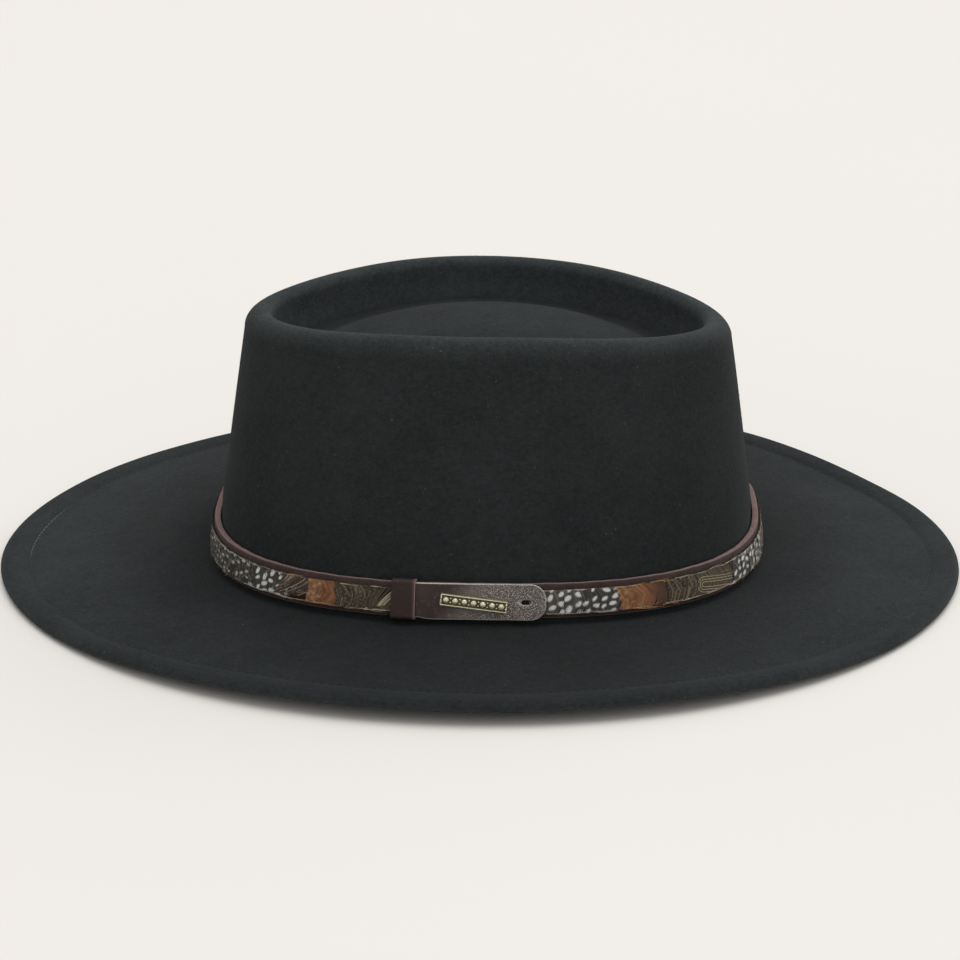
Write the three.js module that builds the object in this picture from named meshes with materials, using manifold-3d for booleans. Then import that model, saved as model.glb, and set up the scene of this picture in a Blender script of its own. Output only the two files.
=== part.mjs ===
// An outdoor hat: a wide, nearly flat brim and a telescope crown blocked from one piece of black
// wool felt, with a leather and feather band that sits round the foot of the crown.
//
// Frame: millimetres, +Z up. -X points to the front of the hat, -Y to the wearer's left, where the
// band closes. The origin is on the surface that the brim rests on, under the middle of the hat.

import * as THREE from "three";
import { mergeVertices } from "three/addons/utils/BufferGeometryUtils.js";
import Module from "manifold-3d";

const wasm = await Module();
wasm.setup();

// Felt.
const FELT = 2.2; // wall of the crown and the brim
const WELT_WIDTH = 10.5; // brim edge folded under and stitched down
const WELT_THICKNESS = 4.2; // the two layers at the fold
const WELT_RISE = 0.9; // top of the welt over the top of the brim
const GROOVE_DEPTH = 0.5; // where the row of stitches pulls the felt in
const GROOVE_WIDTH = 1.6;
const WELT_NOSE = 3.4; // how far the rounded fold reaches in from the edge
const HEM_ROUNDING = 0.5; // where the cut edge underneath is pressed down

// Crown, outside of the felt.
const CROWN_LENGTH = 205.4; // at its foot
const CROWN_WIDTH = 176.6;
const CROWN_TOP_LENGTH = 185.2; // where the wall starts to roll over
const CROWN_TOP_WIDTH = 127.6;
const CROWN_HEIGHT = 96.8; // ridge over the brim, at the sides
const RIDGE_DIP_FRONT = 5.1; // how much lower the ridge is there than at the sides
const RIDGE_DIP_BACK = 7.3;
const WALL_BULGE = 0.4; // how far the wall swells between its foot and its top
const WALL_SWELL_TOP = 1.6; // shares of that at the curve's control points
const WALL_SWELL_FOOT = 0.9;
const SHOULDER_REACH = 7.2; // outer roll of the ridge, measured inwards
const SHOULDER_DROP_END = 7; // and downwards
const SHOULDER_DROP_SIDE = 8.5;
const ROLL_RADIUS = 3.6; // inner roll of the ridge
const MOAT_REACH = 6.8; // from the inner roll to the lowest line of the moat, measured inwards
const MOAT_DEPTH = 15; // that line under the ridge
const DOME_DROP = 5.6; // top of the dome under the ridge at the sides
const DOME_CROWN = 0.56; // share of the dome's reach that is drawn level at its top
const DOME_FOOT = 0.3; // and at its foot
const BREAK_RADIUS = 2; // where the wall turns into the brim

// Brim, from the foot of the crown to the edge.
const BRIM_FRONT = 85.5;
const BRIM_BACK = 79.4;
const BRIM_SIDE = 76.5;
const BREAK_HEIGHT = 8.4; // top of the brim at the crown over the surface the hat rests on
const SIDE_LIFT = 4.2; // underside of the brim edge over that surface, at the two sides
const REST_SHARE = 0.45; // the edge lies flat where its direction is within this sine of the X axis

// How square each oval is: 2 is an ellipse.
const FOOT_SQUARENESS = 2.58;
const RIDGE_SQUARENESS = 1.95;
const EDGE_SQUARENESS = 1.98;

const SEGMENTS = 72; // round the hat

// Hat band.
const GAP = 0.3; // between pieces that lie on each other
const STRAP_STANDOFF = 0.5; // leather to felt
const STRAP_HEIGHT = 12.6;
const STRAP_THICKNESS = 2.5;
const STRAP_BOTTOM = 1.6; // over the brim
const STRAP_EASE = 0.5; // bevel of its edges
const STRAP_STEPS = 84; // round the hat

const CLOSURE_SHIFT = -3.35; // middle of the closure, towards the front from the middle of the side
const CLOSURE_HALF = 27.75; // from there to the keeper's outer edge and to the tongue's tip
const CLOSURE_EASE = 14; // length over which the strap swings out to clear the keeper's back

const KEEPER_WIDTH = 8.6;
const KEEPER_THICKNESS = 0.7;
const KEEPER_EASE = 0.2; // bevel of its inner corners

const TONGUE_THICKNESS = 1.3;
const TONGUE_OVERHANG = 0.6; // how much further down it reaches than the strap
const TONGUE_SPREAD = 6; // length over which it widens to that, from the keeper
const TONGUE_EASE = 0.32; // bevel of its edges
const TONGUE_TIP_RADIUS = 5.6;
const TONGUE_TUCK = 4; // length of the tongue inside the keeper
const TONGUE_RISE_START = 14; // from its tip: where it starts to climb over the feathers
const TONGUE_RISE_END = 7;
const SLIT_LENGTH = 3.8;
const SLIT_WIDTH = 1.8;
const SLIT_FROM_TIP = 7;

const FEATHER_BACKING = 0.45;
const FEATHER_RELIEF = 0.5; // how far the tip of each overlapping vane stands over the backing
const FEATHER_ROOT = 0.5; // share of that at its root, under the tip before it
const FEATHER_EDGE = 0.4; // share of it that is left at the vane's upper and lower edge
const FEATHER_TOP_MARGIN = 2.4; // bare leather over the feathers
const FEATHER_BOTTOM_MARGIN = 1.5;
const FEATHER_PITCH = 15; // one feather shows this much before the next covers it
const FEATHER_TUCK = 6.2; // how far the feathers run in under the tongue

const BAR_LENGTH = 24.6;
const BAR_HEIGHT = 4.5;
const BAR_THICKNESS = 1.5;
const BAR_BEVEL = 0.45;
const BAR_TILT = 6.5; // degrees, its right end down
const BAR_FROM_TIP = 25.9; // middle of the bar from the tongue's free end
const BAR_DOWN = 0.4; // middle of the bar under the middle of the tongue
const BAR_STANDOFF = 0.48; // flat back of the bar to the curved tongue, at the middle
const BEAD_RADIUS = 1.1; // row of beads along the bar
const BEAD_RISE = 0.5;
const BEAD_COUNT = 7;

const COLOURS = {
  felt: { color: 0x222426, roughness: 0.96, metalness: 0 },
  leather: { color: 0x42292a, roughness: 0.6, metalness: 0 },
  tongue: { color: 0x4a3230, roughness: 0.5, metalness: 0 },
  feather: { color: 0x6d4a32, roughness: 0.8, metalness: 0 },
  brass: { color: 0x9a8a4e, roughness: 0.35, metalness: 1 },
};

// Sizes of the four quarters of the hat, one row for each direction that a meridian is drawn in.
const moatFloor = CROWN_HEIGHT + BREAK_HEIGHT - MOAT_DEPTH;
const MERIDIANS = {
  front: {
    foot: CROWN_LENGTH / 2,
    top: CROWN_TOP_LENGTH / 2,
    brim: BRIM_FRONT,
    ridge: BREAK_HEIGHT + CROWN_HEIGHT - RIDGE_DIP_FRONT,
    moat: moatFloor - RIDGE_DIP_FRONT,
    shoulder: SHOULDER_DROP_END,
    lift: 0,
  },
  back: {
    foot: CROWN_LENGTH / 2,
    top: CROWN_TOP_LENGTH / 2,
    brim: BRIM_BACK,
    ridge: BREAK_HEIGHT + CROWN_HEIGHT - RIDGE_DIP_BACK,
    moat: moatFloor - RIDGE_DIP_BACK,
    shoulder: SHOULDER_DROP_END,
    lift: 0,
  },
  side: {
    foot: CROWN_WIDTH / 2,
    top: CROWN_TOP_WIDTH / 2,
    brim: BRIM_SIDE,
    ridge: BREAK_HEIGHT + CROWN_HEIGHT,
    moat: moatFloor,
    shoulder: SHOULDER_DROP_SIDE,
    lift: SIDE_LIFT,
  },
};

const at = (x, y) => new THREE.Vector2(x, y);

// Points on a part of an ellipse, from one angle to another in degrees, without its first point.
function ellipseArc(centreX, centreY, reachX, reachY, from, to, steps) {
  const points = [];
  for (let i = 1; i <= steps; i += 1) {
    const angle = THREE.MathUtils.degToRad(from + ((to - from) * i) / steps);
    points.push(at(centreX + reachX * Math.cos(angle), centreY + reachY * Math.sin(angle)));
  }
  return points;
}

// Points on a cubic, without its first point.
function cubic(start, controlA, controlB, end, steps) {
  const curve = new THREE.CubicBezierCurve(start, controlA, controlB, end);
  return curve.getPoints(steps).slice(1);
}

// Height of the upper side of the brim where the welt starts, over the resting surface.
const grooveHeight = (m) => m.lift + WELT_THICKNESS - WELT_RISE;

// The outer skin of one meridian, from the top of the dome to the groove of the welt.
// Each entry holds the point, the squareness of the oval that it lies on and how far it follows
// the level ends of the brim edge, from 0 to 1.
function outerSkin(m) {
  const ridgeAt = m.top - SHOULDER_REACH;
  const rollAt = ridgeAt - ROLL_RADIUS;
  const moatAt = rollAt - MOAT_REACH;
  const domeTop = BREAK_HEIGHT + CROWN_HEIGHT - DOME_DROP;
  const skin = [];
  const lerp = THREE.MathUtils.lerp;
  // Adds a stretch whose squareness and level run from one value to another.
  const add = (points, from, to = from, levelTo = 0, pace = (share) => share) => {
    points.forEach((point, i) => {
      const share = (i + 1) / points.length;
      skin.push({ point, squareness: lerp(from, to, pace(share)), level: levelTo * share });
    });
  };

  // Dome, then the moat and its outer wall up to the ridge.
  add([at(0, domeTop)], RIDGE_SQUARENESS);
  add(
    cubic(
      at(0, domeTop),
      at(moatAt * DOME_CROWN, domeTop),
      at(moatAt * (1 - DOME_FOOT), m.moat),
      at(moatAt, m.moat),
      7,
    ),
    RIDGE_SQUARENESS,
  );
  add(
    cubic(
      at(moatAt, m.moat),
      at(moatAt + MOAT_REACH * 0.7, m.moat),
      at(rollAt, lerp(m.moat, m.ridge, 0.3)),
      at(rollAt, m.ridge - ROLL_RADIUS),
      4,
    ),
    RIDGE_SQUARENESS,
  );
  add(ellipseArc(ridgeAt, m.ridge - ROLL_RADIUS, ROLL_RADIUS, ROLL_RADIUS, 180, 90, 3), RIDGE_SQUARENESS);
  add(ellipseArc(ridgeAt, m.ridge - m.shoulder, SHOULDER_REACH, m.shoulder, 90, 0, 4), RIDGE_SQUARENESS);

  // Wall down to the foot, and the break into the brim.
  const wallTop = at(m.top, m.ridge - m.shoulder);
  const wallFoot = at(m.foot, BREAK_HEIGHT + BREAK_RADIUS);
  const wall = (share, swell) =>
    at(lerp(wallTop.x, wallFoot.x, share) + swell, lerp(wallTop.y, wallFoot.y, share));
  add(
    cubic(
      wallTop,
      wall(1 / 3, WALL_BULGE * WALL_SWELL_TOP),
      wall(2 / 3, WALL_BULGE * WALL_SWELL_FOOT),
      wallFoot,
      5,
    ),
    RIDGE_SQUARENESS,
    FOOT_SQUARENESS,
    0,
    (share) => 1 - (1 - share) ** 2,
  );
  const breakAt = wallFoot.clone().add(at(BREAK_RADIUS, 0));
  add(ellipseArc(breakAt.x, breakAt.y, BREAK_RADIUS, BREAK_RADIUS, 180, 270, 3), FOOT_SQUARENESS);

  // Brim, out to the groove.
  const edge = m.foot + m.brim;
  const brimStart = at(m.foot + BREAK_RADIUS, BREAK_HEIGHT);
  const brimEnd = at(edge - WELT_WIDTH - GROOVE_WIDTH, grooveHeight(m));
  const reach = brimEnd.x - brimStart.x;
  add(
    cubic(
      brimStart,
      at(brimStart.x + reach * 0.4, lerp(brimStart.y, brimEnd.y, 0.22)),
      at(brimStart.x + reach * 0.75, lerp(brimStart.y, brimEnd.y, 0.7)),
      brimEnd,
      4,
    ),
    FOOT_SQUARENESS,
    EDGE_SQUARENESS,
    1,
  );
  skin.push({
    point: at(edge - WELT_WIDTH - GROOVE_WIDTH / 2, grooveHeight(m) - GROOVE_DEPTH),
    squareness: EDGE_SQUARENESS,
    level: 1,
  });
  return skin;
}

// The welt: from the groove over the fold and back under to the cut edge of the felt.
function weltSkin(m) {
  const edge = m.foot + m.brim;
  const middle = m.lift + WELT_THICKNESS / 2;
  const top = m.lift + WELT_THICKNESS;
  const points = [
    at(edge - WELT_WIDTH, grooveHeight(m)),
    at(edge - WELT_WIDTH * 0.72, top - WELT_RISE * 0.25),
    at(edge - WELT_WIDTH * 0.5, top),
    at(edge - WELT_NOSE, top),
    ...ellipseArc(edge - WELT_NOSE, middle, WELT_NOSE, WELT_THICKNESS / 2, 90, -90, 6),
    at(edge - WELT_WIDTH + HEM_ROUNDING, m.lift),
    at(edge - WELT_WIDTH, m.lift + HEM_ROUNDING),
  ];
  return points.map((point) => ({ point, squareness: EDGE_SQUARENESS, level: 1 }));
}

// The inner skin: the outer one moved along its own normals by the wall.
function innerSkin(outer, wall) {
  return outer.map(({ point, squareness, level }, i) => {
    const before = outer[Math.max(i - 1, 0)].point;
    const after = outer[Math.min(i + 1, outer.length - 1)].point;
    const first = i === 0 ? new THREE.Vector2(1, 0) : point.clone().sub(before).normalize();
    const second = i === outer.length - 1 ? first.clone() : after.clone().sub(point).normalize();
    const along = first.clone().add(second).normalize();
    const miter = along.dot(second);
    const inwards = new THREE.Vector2(-along.y, along.x).multiplyScalar(-wall / miter);
    return { point: i === 0 ? at(0, point.y - wall) : point.clone().add(inwards), squareness, level };
  });
}

function meridian(m) {
  const outer = outerSkin(m);
  const inner = innerSkin(outer.slice(0, -1), FELT);
  const coarser = inner.filter((row, i) => i % 2 === 0 || i === inner.length - 1);
  return [...outer, ...weltSkin(m), ...coarser.reverse()];
}

// Radius of an oval in a direction: half its length to the front or back, half its width, squareness.
function ovalRadius(halfFront, halfBack, halfSide, squareness, angle) {
  const across = Math.abs(Math.sin(angle)) / halfSide;
  const along = Math.abs(Math.cos(angle)) / (Math.cos(angle) < 0 ? halfFront : halfBack);
  return (across ** squareness + along ** squareness) ** (-1 / squareness);
}

// How much of the side meridian's height counts in a direction. Where level is 1 the two ends are
// level for a stretch, and the hat rests on them.
function sideShare(angle, level) {
  const sine = Math.abs(Math.sin(angle));
  return THREE.MathUtils.lerp(sine * sine, THREE.MathUtils.smoothstep(sine, REST_SHARE, 1), level);
}

// A closed mesh from the three meridians, swept round the hat.
function sweptBody(front, back, side, segments) {
  const geometry = new THREE.LatheGeometry(side.map(({ point }) => point), segments);
  const position = geometry.getAttribute("position");
  const rows = side.length;
  for (let i = 0; i <= segments; i += 1) {
    const angle = (-2 * Math.PI * (i % segments)) / segments;
    const endwise = Math.cos(angle) < 0 ? front : back;
    for (let j = 0; j < rows; j += 1) {
      const share = sideShare(angle, side[j].level);
      const height = THREE.MathUtils.lerp(endwise[j].point.y, side[j].point.y, share);
      const radius =
        side[j].point.x < 1e-6
          ? 0
          : ovalRadius(front[j].point.x, back[j].point.x, side[j].point.x, side[j].squareness, angle);
      position.setXYZ(i * rows + j, radius * Math.cos(angle), radius * Math.sin(angle), height);
    }
  }
  geometry.computeVertexNormals();
  return geometry;
}

function feltBody() {
  const [front, back, side] = ["front", "back", "side"].map((name) => meridian(MERIDIANS[name]));
  return sweptBody(front, back, side, SEGMENTS);
}

// The outline of the crown's foot, as a curve that can be walked by length. It starts at the middle
// of the hat's left side and runs towards the back.
class FootOval extends THREE.Curve {
  getPoint(t, target = new THREE.Vector3()) {
    const angle = -Math.PI / 2 + 2 * Math.PI * t;
    const radius = ovalRadius(CROWN_LENGTH / 2, CROWN_LENGTH / 2, CROWN_WIDTH / 2, FOOT_SQUARENESS, angle);
    return target.set(radius * Math.cos(angle), radius * Math.sin(angle), BREAK_HEIGHT);
  }
}
const footOval = new FootOval();
footOval.arcLengthDivisions = 720;
const footLength = footOval.getLength();

// Lean of the crown's wall from the upright just over its foot, in a direction.
function wallLean(angle) {
  const { front, back, side } = MERIDIANS;
  const run = (part) => ovalRadius(front[part], back[part], side[part], FOOT_SQUARENESS, angle);
  const swell = 3 * WALL_SWELL_FOOT * WALL_BULGE;
  const inwards = run("foot") - run("top") - swell;
  return Math.atan2(inwards, CROWN_HEIGHT - SHOULDER_DROP_SIDE - BREAK_RADIUS);
}

// A point of the band: along the foot of the crown from the middle of the left side, up the wall
// from the brim, and out from the felt.
function bandPoint(along, up, out) {
  const share = (((along / footLength) % 1) + 1) % 1;
  const point = footOval.getPointAt(share);
  const tangent = footOval.getTangentAt(share);
  const outwards = new THREE.Vector3(tangent.y, -tangent.x, 0);
  const lean = wallLean(Math.atan2(point.y, point.x));
  const upwards = outwards.clone().multiplyScalar(-Math.sin(lean)).setZ(Math.cos(lean));
  const face = outwards.clone().multiplyScalar(Math.cos(lean)).setZ(Math.sin(lean));
  point.z += BREAK_RADIUS;
  return point.addScaledVector(upwards, up - BREAK_RADIUS).addScaledVector(face, out);
}

const smooth = (from, to, value) => THREE.MathUtils.smoothstep(value, from, to);

// Lengths along the band.
const keeperStart = CLOSURE_SHIFT - CLOSURE_HALF;
const keeperEnd = keeperStart + KEEPER_WIDTH;
const tongueStart = keeperEnd - TONGUE_TUCK;
const tongueTip = CLOSURE_SHIFT + CLOSURE_HALF;
const featherStart = tongueTip - FEATHER_TUCK;
const featherEnd = tongueStart - GAP + footLength;

// The strap swings out here by the thickness of the keeper's back.
function strapInside(along) {
  const middle = (keeperStart + keeperEnd) / 2;
  const away = Math.abs(((along - middle + 1.5 * footLength) % footLength) - footLength / 2);
  const swing = 1 - smooth(KEEPER_WIDTH / 2 + 1, KEEPER_WIDTH / 2 + CLOSURE_EASE, away);
  return STRAP_STANDOFF + (KEEPER_THICKNESS + GAP) * swing;
}
const strapOutside = (along) => strapInside(along) + STRAP_THICKNESS;
const strapTop = STRAP_BOTTOM + STRAP_HEIGHT;
const tongueMiddle = (STRAP_BOTTOM - TONGUE_OVERHANG + strapTop) / 2;
const featherThickness = FEATHER_BACKING + FEATHER_RELIEF;

// The outline of a box with bevelled edges, as [up, out] pairs that run the same way round.
function easedBox(bottom, top, inside, outside, ease) {
  return [
    [bottom, inside + ease],
    [bottom, outside - ease],
    [bottom + ease, outside],
    [top - ease, outside],
    [top, outside - ease],
    [top, inside + ease],
    [top - ease, inside],
    [bottom + ease, inside],
  ];
}

// A solid swept along the band through the sections at the given lengths. section(along, i) gives one
// loop of [up, out] pairs, or two where it is a tube. A closed ring joins its last section to its first.
function bandSolid(lengths, section, closed = false) {
  const positions = [];
  const index = [];
  const rings = lengths.map((along, i) =>
    section(along, i).map((loop) =>
      loop.map(([up, out]) => {
        positions.push(...bandPoint(along, up, out).toArray());
        return positions.length / 3 - 1;
      }),
    ),
  );
  const quad = (a, b, c, d) => index.push(a, c, b, a, d, c);
  const joins = closed ? rings.length : rings.length - 1;
  for (let i = 0; i < joins; i += 1) {
    const here = rings[i];
    const next = rings[(i + 1) % rings.length];
    here.forEach((loop, side) => {
      loop.forEach((corner, j) => {
        const k = (j + 1) % loop.length;
        if (side === 0) quad(corner, loop[k], next[side][k], next[side][j]);
        else quad(corner, next[side][j], next[side][k], loop[k]);
      });
    });
  }
  if (!closed) {
    const cap = ([outer, inner], flip) => {
      const turn = (a, b, c) => (flip ? index.push(a, c, b) : index.push(a, b, c));
      if (inner) {
        outer.forEach((corner, j) => {
          const k = (j + 1) % outer.length;
          turn(corner, outer[k], inner[k]);
          turn(corner, inner[k], inner[j]);
        });
      } else {
        for (let j = 1; j < outer.length - 1; j += 1) turn(outer[0], outer[j], outer[j + 1]);
      }
    };
    cap(rings[0], false);
    cap(rings[rings.length - 1], true);
  }
  const geometry = new THREE.BufferGeometry();
  geometry.setAttribute("position", new THREE.Float32BufferAttribute(positions, 3));
  geometry.setIndex(index);
  geometry.computeVertexNormals();
  return geometry;
}

function evenly(from, to, steps) {
  return Array.from({ length: steps + 1 }, (none, i) => from + ((to - from) * i) / steps);
}

function strap() {
  const lengths = evenly(0, footLength, STRAP_STEPS).slice(0, -1);
  return bandSolid(
    lengths,
    (along) => [easedBox(STRAP_BOTTOM, strapTop, strapInside(along), strapOutside(along), STRAP_EASE)],
    true,
  );
}

// The inside of the tongue, over the strap and then over the feathers.
function tongueInside(along) {
  const fromTip = tongueTip - along;
  const rise = 1 - smooth(TONGUE_RISE_END, TONGUE_RISE_START, fromTip);
  return strapOutside(along) + GAP + (featherThickness + GAP) * rise;
}

function tongue() {
  const round = (fromTip) => {
    const short = Math.max(TONGUE_TIP_RADIUS - fromTip, 0);
    return TONGUE_TIP_RADIUS - Math.sqrt(Math.max(TONGUE_TIP_RADIUS ** 2 - short ** 2, 0));
  };
  const lengths = [
    ...evenly(tongueStart, tongueTip - TONGUE_RISE_START, 8),
    ...evenly(tongueTip - TONGUE_RISE_START, tongueTip - TONGUE_TIP_RADIUS, 5).slice(1),
    ...[0.72, 0.46, 0.24, 0.1, 0.02].map((share) => tongueTip - TONGUE_TIP_RADIUS * share),
  ];
  return bandSolid(lengths, (along) => {
    const inset = round(tongueTip - along);
    const inside = tongueInside(along);
    const overhang = TONGUE_OVERHANG * smooth(keeperEnd, keeperEnd + TONGUE_SPREAD, along);
    const bottom = STRAP_BOTTOM - overhang + inset;
    return [easedBox(bottom, strapTop - inset, inside, inside + TONGUE_THICKNESS, TONGUE_EASE)];
  });
}

// A solid of the manifold kind from a three.js one.
function toManifold(geometry) {
  const bare = new THREE.BufferGeometry();
  bare.setAttribute("position", geometry.getAttribute("position").clone());
  if (geometry.index) bare.setIndex(geometry.index.clone());
  const merged = mergeVertices(bare, 1e-4);
  const mesh = new wasm.Mesh({
    numProp: 3,
    vertProperties: new Float32Array(merged.getAttribute("position").array),
    triVerts: new Uint32Array(merged.index.array),
  });
  return new wasm.Manifold(mesh);
}

function fromManifold(solid) {
  const mesh = solid.getMesh();
  const geometry = new THREE.BufferGeometry();
  geometry.setAttribute("position", new THREE.Float32BufferAttribute(mesh.vertProperties, 3));
  geometry.setIndex([...mesh.triVerts]);
  geometry.computeVertexNormals();
  return geometry;
}

// Places a solid drawn about the origin, X along the band, Y up the wall and Z out of it.
function ontoBand(geometry, along, up, out, tilt = 0) {
  const middle = bandPoint(along, up, out);
  const xAxis = bandPoint(along + 1, up, out).sub(bandPoint(along - 1, up, out)).normalize();
  const yAxis = bandPoint(along, up + 1, out).sub(middle).normalize();
  const zAxis = xAxis.clone().cross(yAxis).normalize();
  const place = new THREE.Matrix4().makeBasis(xAxis, zAxis.clone().cross(xAxis), zAxis).setPosition(middle);
  geometry.rotateZ(THREE.MathUtils.degToRad(tilt));
  geometry.applyMatrix4(place);
  return geometry;
}

// The tongue with its buckle slit cut through.
function slitTongue() {
  const shape = new THREE.Shape();
  const half = (SLIT_LENGTH - SLIT_WIDTH) / 2;
  shape.absarc(half, 0, SLIT_WIDTH / 2, -Math.PI / 2, Math.PI / 2, false);
  shape.absarc(-half, 0, SLIT_WIDTH / 2, Math.PI / 2, 1.5 * Math.PI, false);
  const depth = TONGUE_THICKNESS * 3;
  const cutter = new THREE.ExtrudeGeometry(shape, { depth, bevelEnabled: false, curveSegments: 5 });
  cutter.translate(0, 0, -depth / 2);
  const along = tongueTip - SLIT_FROM_TIP;
  ontoBand(cutter, along, tongueMiddle, tongueInside(along) + TONGUE_THICKNESS / 2);
  return fromManifold(toManifold(tongue()).subtract(toManifold(cutter)));
}

// The keeper: a flat leather loop round the strap and the tongue.
function keeper() {
  const lengths = evenly(keeperStart, keeperEnd, 4);
  return bandSolid(lengths, (along) => {
    const inside = strapInside(along) - GAP;
    const outside = strapOutside(along) + TONGUE_THICKNESS + 2 * GAP;
    const bottom = STRAP_BOTTOM - GAP;
    const top = strapTop + GAP;
    const loop = (grow) =>
      easedBox(bottom - grow, top + grow, inside - grow, outside + grow, KEEPER_EASE + grow);
    return [loop(KEEPER_THICKNESS), loop(0)];
  });
}

// The feathers: overlapping vanes laid along a backing. Each one steps up at its tip, over the root of
// the one before, and falls to its own root.
function feathers() {
  const count = Math.round((featherEnd - featherStart) / FEATHER_PITCH);
  const pitch = (featherEnd - featherStart) / count;
  const stations = [
    { share: 0, lift: FEATHER_ROOT },
    { share: 0.06, lift: 1 },
    { share: 0.5, lift: (1 + FEATHER_ROOT) / 2 },
  ];
  const rows = [];
  for (let i = 0; i < count; i += 1) {
    stations.forEach(({ share, lift }) => rows.push({ along: featherStart + pitch * (i + share), lift }));
  }
  rows.push({ along: featherEnd, lift: FEATHER_ROOT });
  const bottom = STRAP_BOTTOM + FEATHER_BOTTOM_MARGIN;
  const top = strapTop - FEATHER_TOP_MARGIN;
  return bandSolid(
    rows.map(({ along }) => along),
    (along, i) => {
      const inside = strapOutside(along) + GAP;
      const base = inside + FEATHER_BACKING;
      const lift = FEATHER_RELIEF * rows[i].lift;
      return [
        [
          [bottom, inside],
          [bottom, base + lift * FEATHER_EDGE],
          [(bottom + top) / 2, base + lift],
          [top, base + lift * FEATHER_EDGE],
          [top, inside],
        ],
      ];
    },
  );
}

// The metal bar: a bevelled plate with a row of low round beads.
function bar() {
  const shape = new THREE.Shape();
  const halfLength = BAR_LENGTH / 2 - BAR_BEVEL;
  const halfHeight = BAR_HEIGHT / 2 - BAR_BEVEL;
  shape.moveTo(-halfLength, -halfHeight);
  shape.lineTo(halfLength, -halfHeight);
  shape.lineTo(halfLength, halfHeight);
  shape.lineTo(-halfLength, halfHeight);
  shape.closePath();
  const plate = new THREE.ExtrudeGeometry(shape, {
    depth: BAR_THICKNESS - 2 * BAR_BEVEL,
    bevelEnabled: true,
    bevelThickness: BAR_BEVEL,
    bevelSize: BAR_BEVEL,
    bevelSegments: 2,
  });
  plate.translate(0, 0, BAR_BEVEL);
  let solid = toManifold(plate);
  const spacing = (BAR_LENGTH - 4 * BEAD_RADIUS) / (BEAD_COUNT - 1);
  for (let i = 0; i < BEAD_COUNT; i += 1) {
    const bead = new THREE.SphereGeometry(BEAD_RADIUS, 8, 6);
    bead.rotateX(Math.PI / 2);
    bead.scale(1, 1, (BEAD_RISE + BAR_BEVEL) / BEAD_RADIUS);
    bead.translate(spacing * (i - (BEAD_COUNT - 1) / 2), 0, BAR_THICKNESS - BAR_BEVEL);
    solid = solid.add(toManifold(bead));
  }
  return fromManifold(solid);
}

const hat = new THREE.Group();
hat.name = "outdoor_hat";
hat.position.x = (BRIM_FRONT - BRIM_BACK) / 2;

function addPiece(name, geometry, finish) {
  const mesh = new THREE.Mesh(geometry, new THREE.MeshStandardMaterial(COLOURS[finish]));
  mesh.name = name;
  hat.add(mesh);
}

const barAlong = tongueTip - BAR_FROM_TIP;
const barOut = tongueInside(barAlong) + TONGUE_THICKNESS + BAR_STANDOFF;

addPiece("felt_body", feltBody(), "felt");
addPiece("band_strap", strap(), "leather");
addPiece("feather_strip", feathers(), "feather");
addPiece("band_keeper", keeper(), "leather");
addPiece("band_tongue", slitTongue(), "tongue");
addPiece("band_bar", ontoBand(bar(), barAlong, tongueMiddle - BAR_DOWN, barOut, -BAR_TILT), "brass");

export default hat;
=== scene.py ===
import math

import bmesh
import bpy
import numpy as np
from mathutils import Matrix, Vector


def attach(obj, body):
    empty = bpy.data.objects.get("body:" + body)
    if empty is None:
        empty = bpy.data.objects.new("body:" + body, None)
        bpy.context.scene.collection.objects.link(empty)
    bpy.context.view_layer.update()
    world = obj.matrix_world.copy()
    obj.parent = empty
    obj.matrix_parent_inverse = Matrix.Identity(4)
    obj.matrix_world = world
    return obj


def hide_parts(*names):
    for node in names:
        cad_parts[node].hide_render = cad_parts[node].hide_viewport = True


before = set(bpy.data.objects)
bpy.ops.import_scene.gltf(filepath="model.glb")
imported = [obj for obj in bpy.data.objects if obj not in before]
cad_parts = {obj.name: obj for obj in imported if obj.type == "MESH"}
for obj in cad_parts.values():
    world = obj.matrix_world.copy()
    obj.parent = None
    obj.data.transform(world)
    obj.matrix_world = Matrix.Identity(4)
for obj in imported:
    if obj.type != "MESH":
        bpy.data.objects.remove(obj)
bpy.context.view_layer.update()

# An outdoor hat: black wool felt with a telescope crown and a wide, nearly level brim, and a band
# of leather and feathers round the foot of the crown.
#
# The shapes are worked out in millimetres and written to the meshes in metres. +Z is up, -X is the
# front of the hat, and -Y is the wearer's left, where the band closes.

METRE = 0.001
rng = np.random.default_rng(41)

# Felt, as cut and blocked. The groove beside the welt is shallower than the solid's, because the
# nap fills it, and the dome is a little flatter.
FELT = 2.2
WELT_WIDTH = 10.5
WELT_THICKNESS = 4.2
WELT_RISE = 0.9
GROOVE_DEPTH = 0.15
GROOVE_WIDTH = 1.6
GROOVE_ROWS = 2.2
WELT_NOSE = 3.4
HEM_ROUNDING = 0.5
SHOULDER_REACH = 7.2
ROLL_RADIUS = 3.6
MOAT_REACH = 6.8
MOAT_DEPTH = 15
DOME_DROP = 8.2
DOME_CROWN = 0.7
DOME_FOOT = 0.22
CROWN_HEIGHT = 96.8
BREAK_RADIUS = 2
BREAK_HEIGHT = 8.4
WALL_BULGE = 0.4
WALL_SWELL_TOP = 1.6
WALL_SWELL_FOOT = 0.9
REST_SHARE = 0.45
FOOT_SQUARENESS = 2.58
RIDGE_SQUARENESS = 1.95
EDGE_SQUARENESS = 1.98
CROWN_LENGTH = 205.4
CROWN_WIDTH = 176.6
FELT_DIRECTIONS = 400

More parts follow.
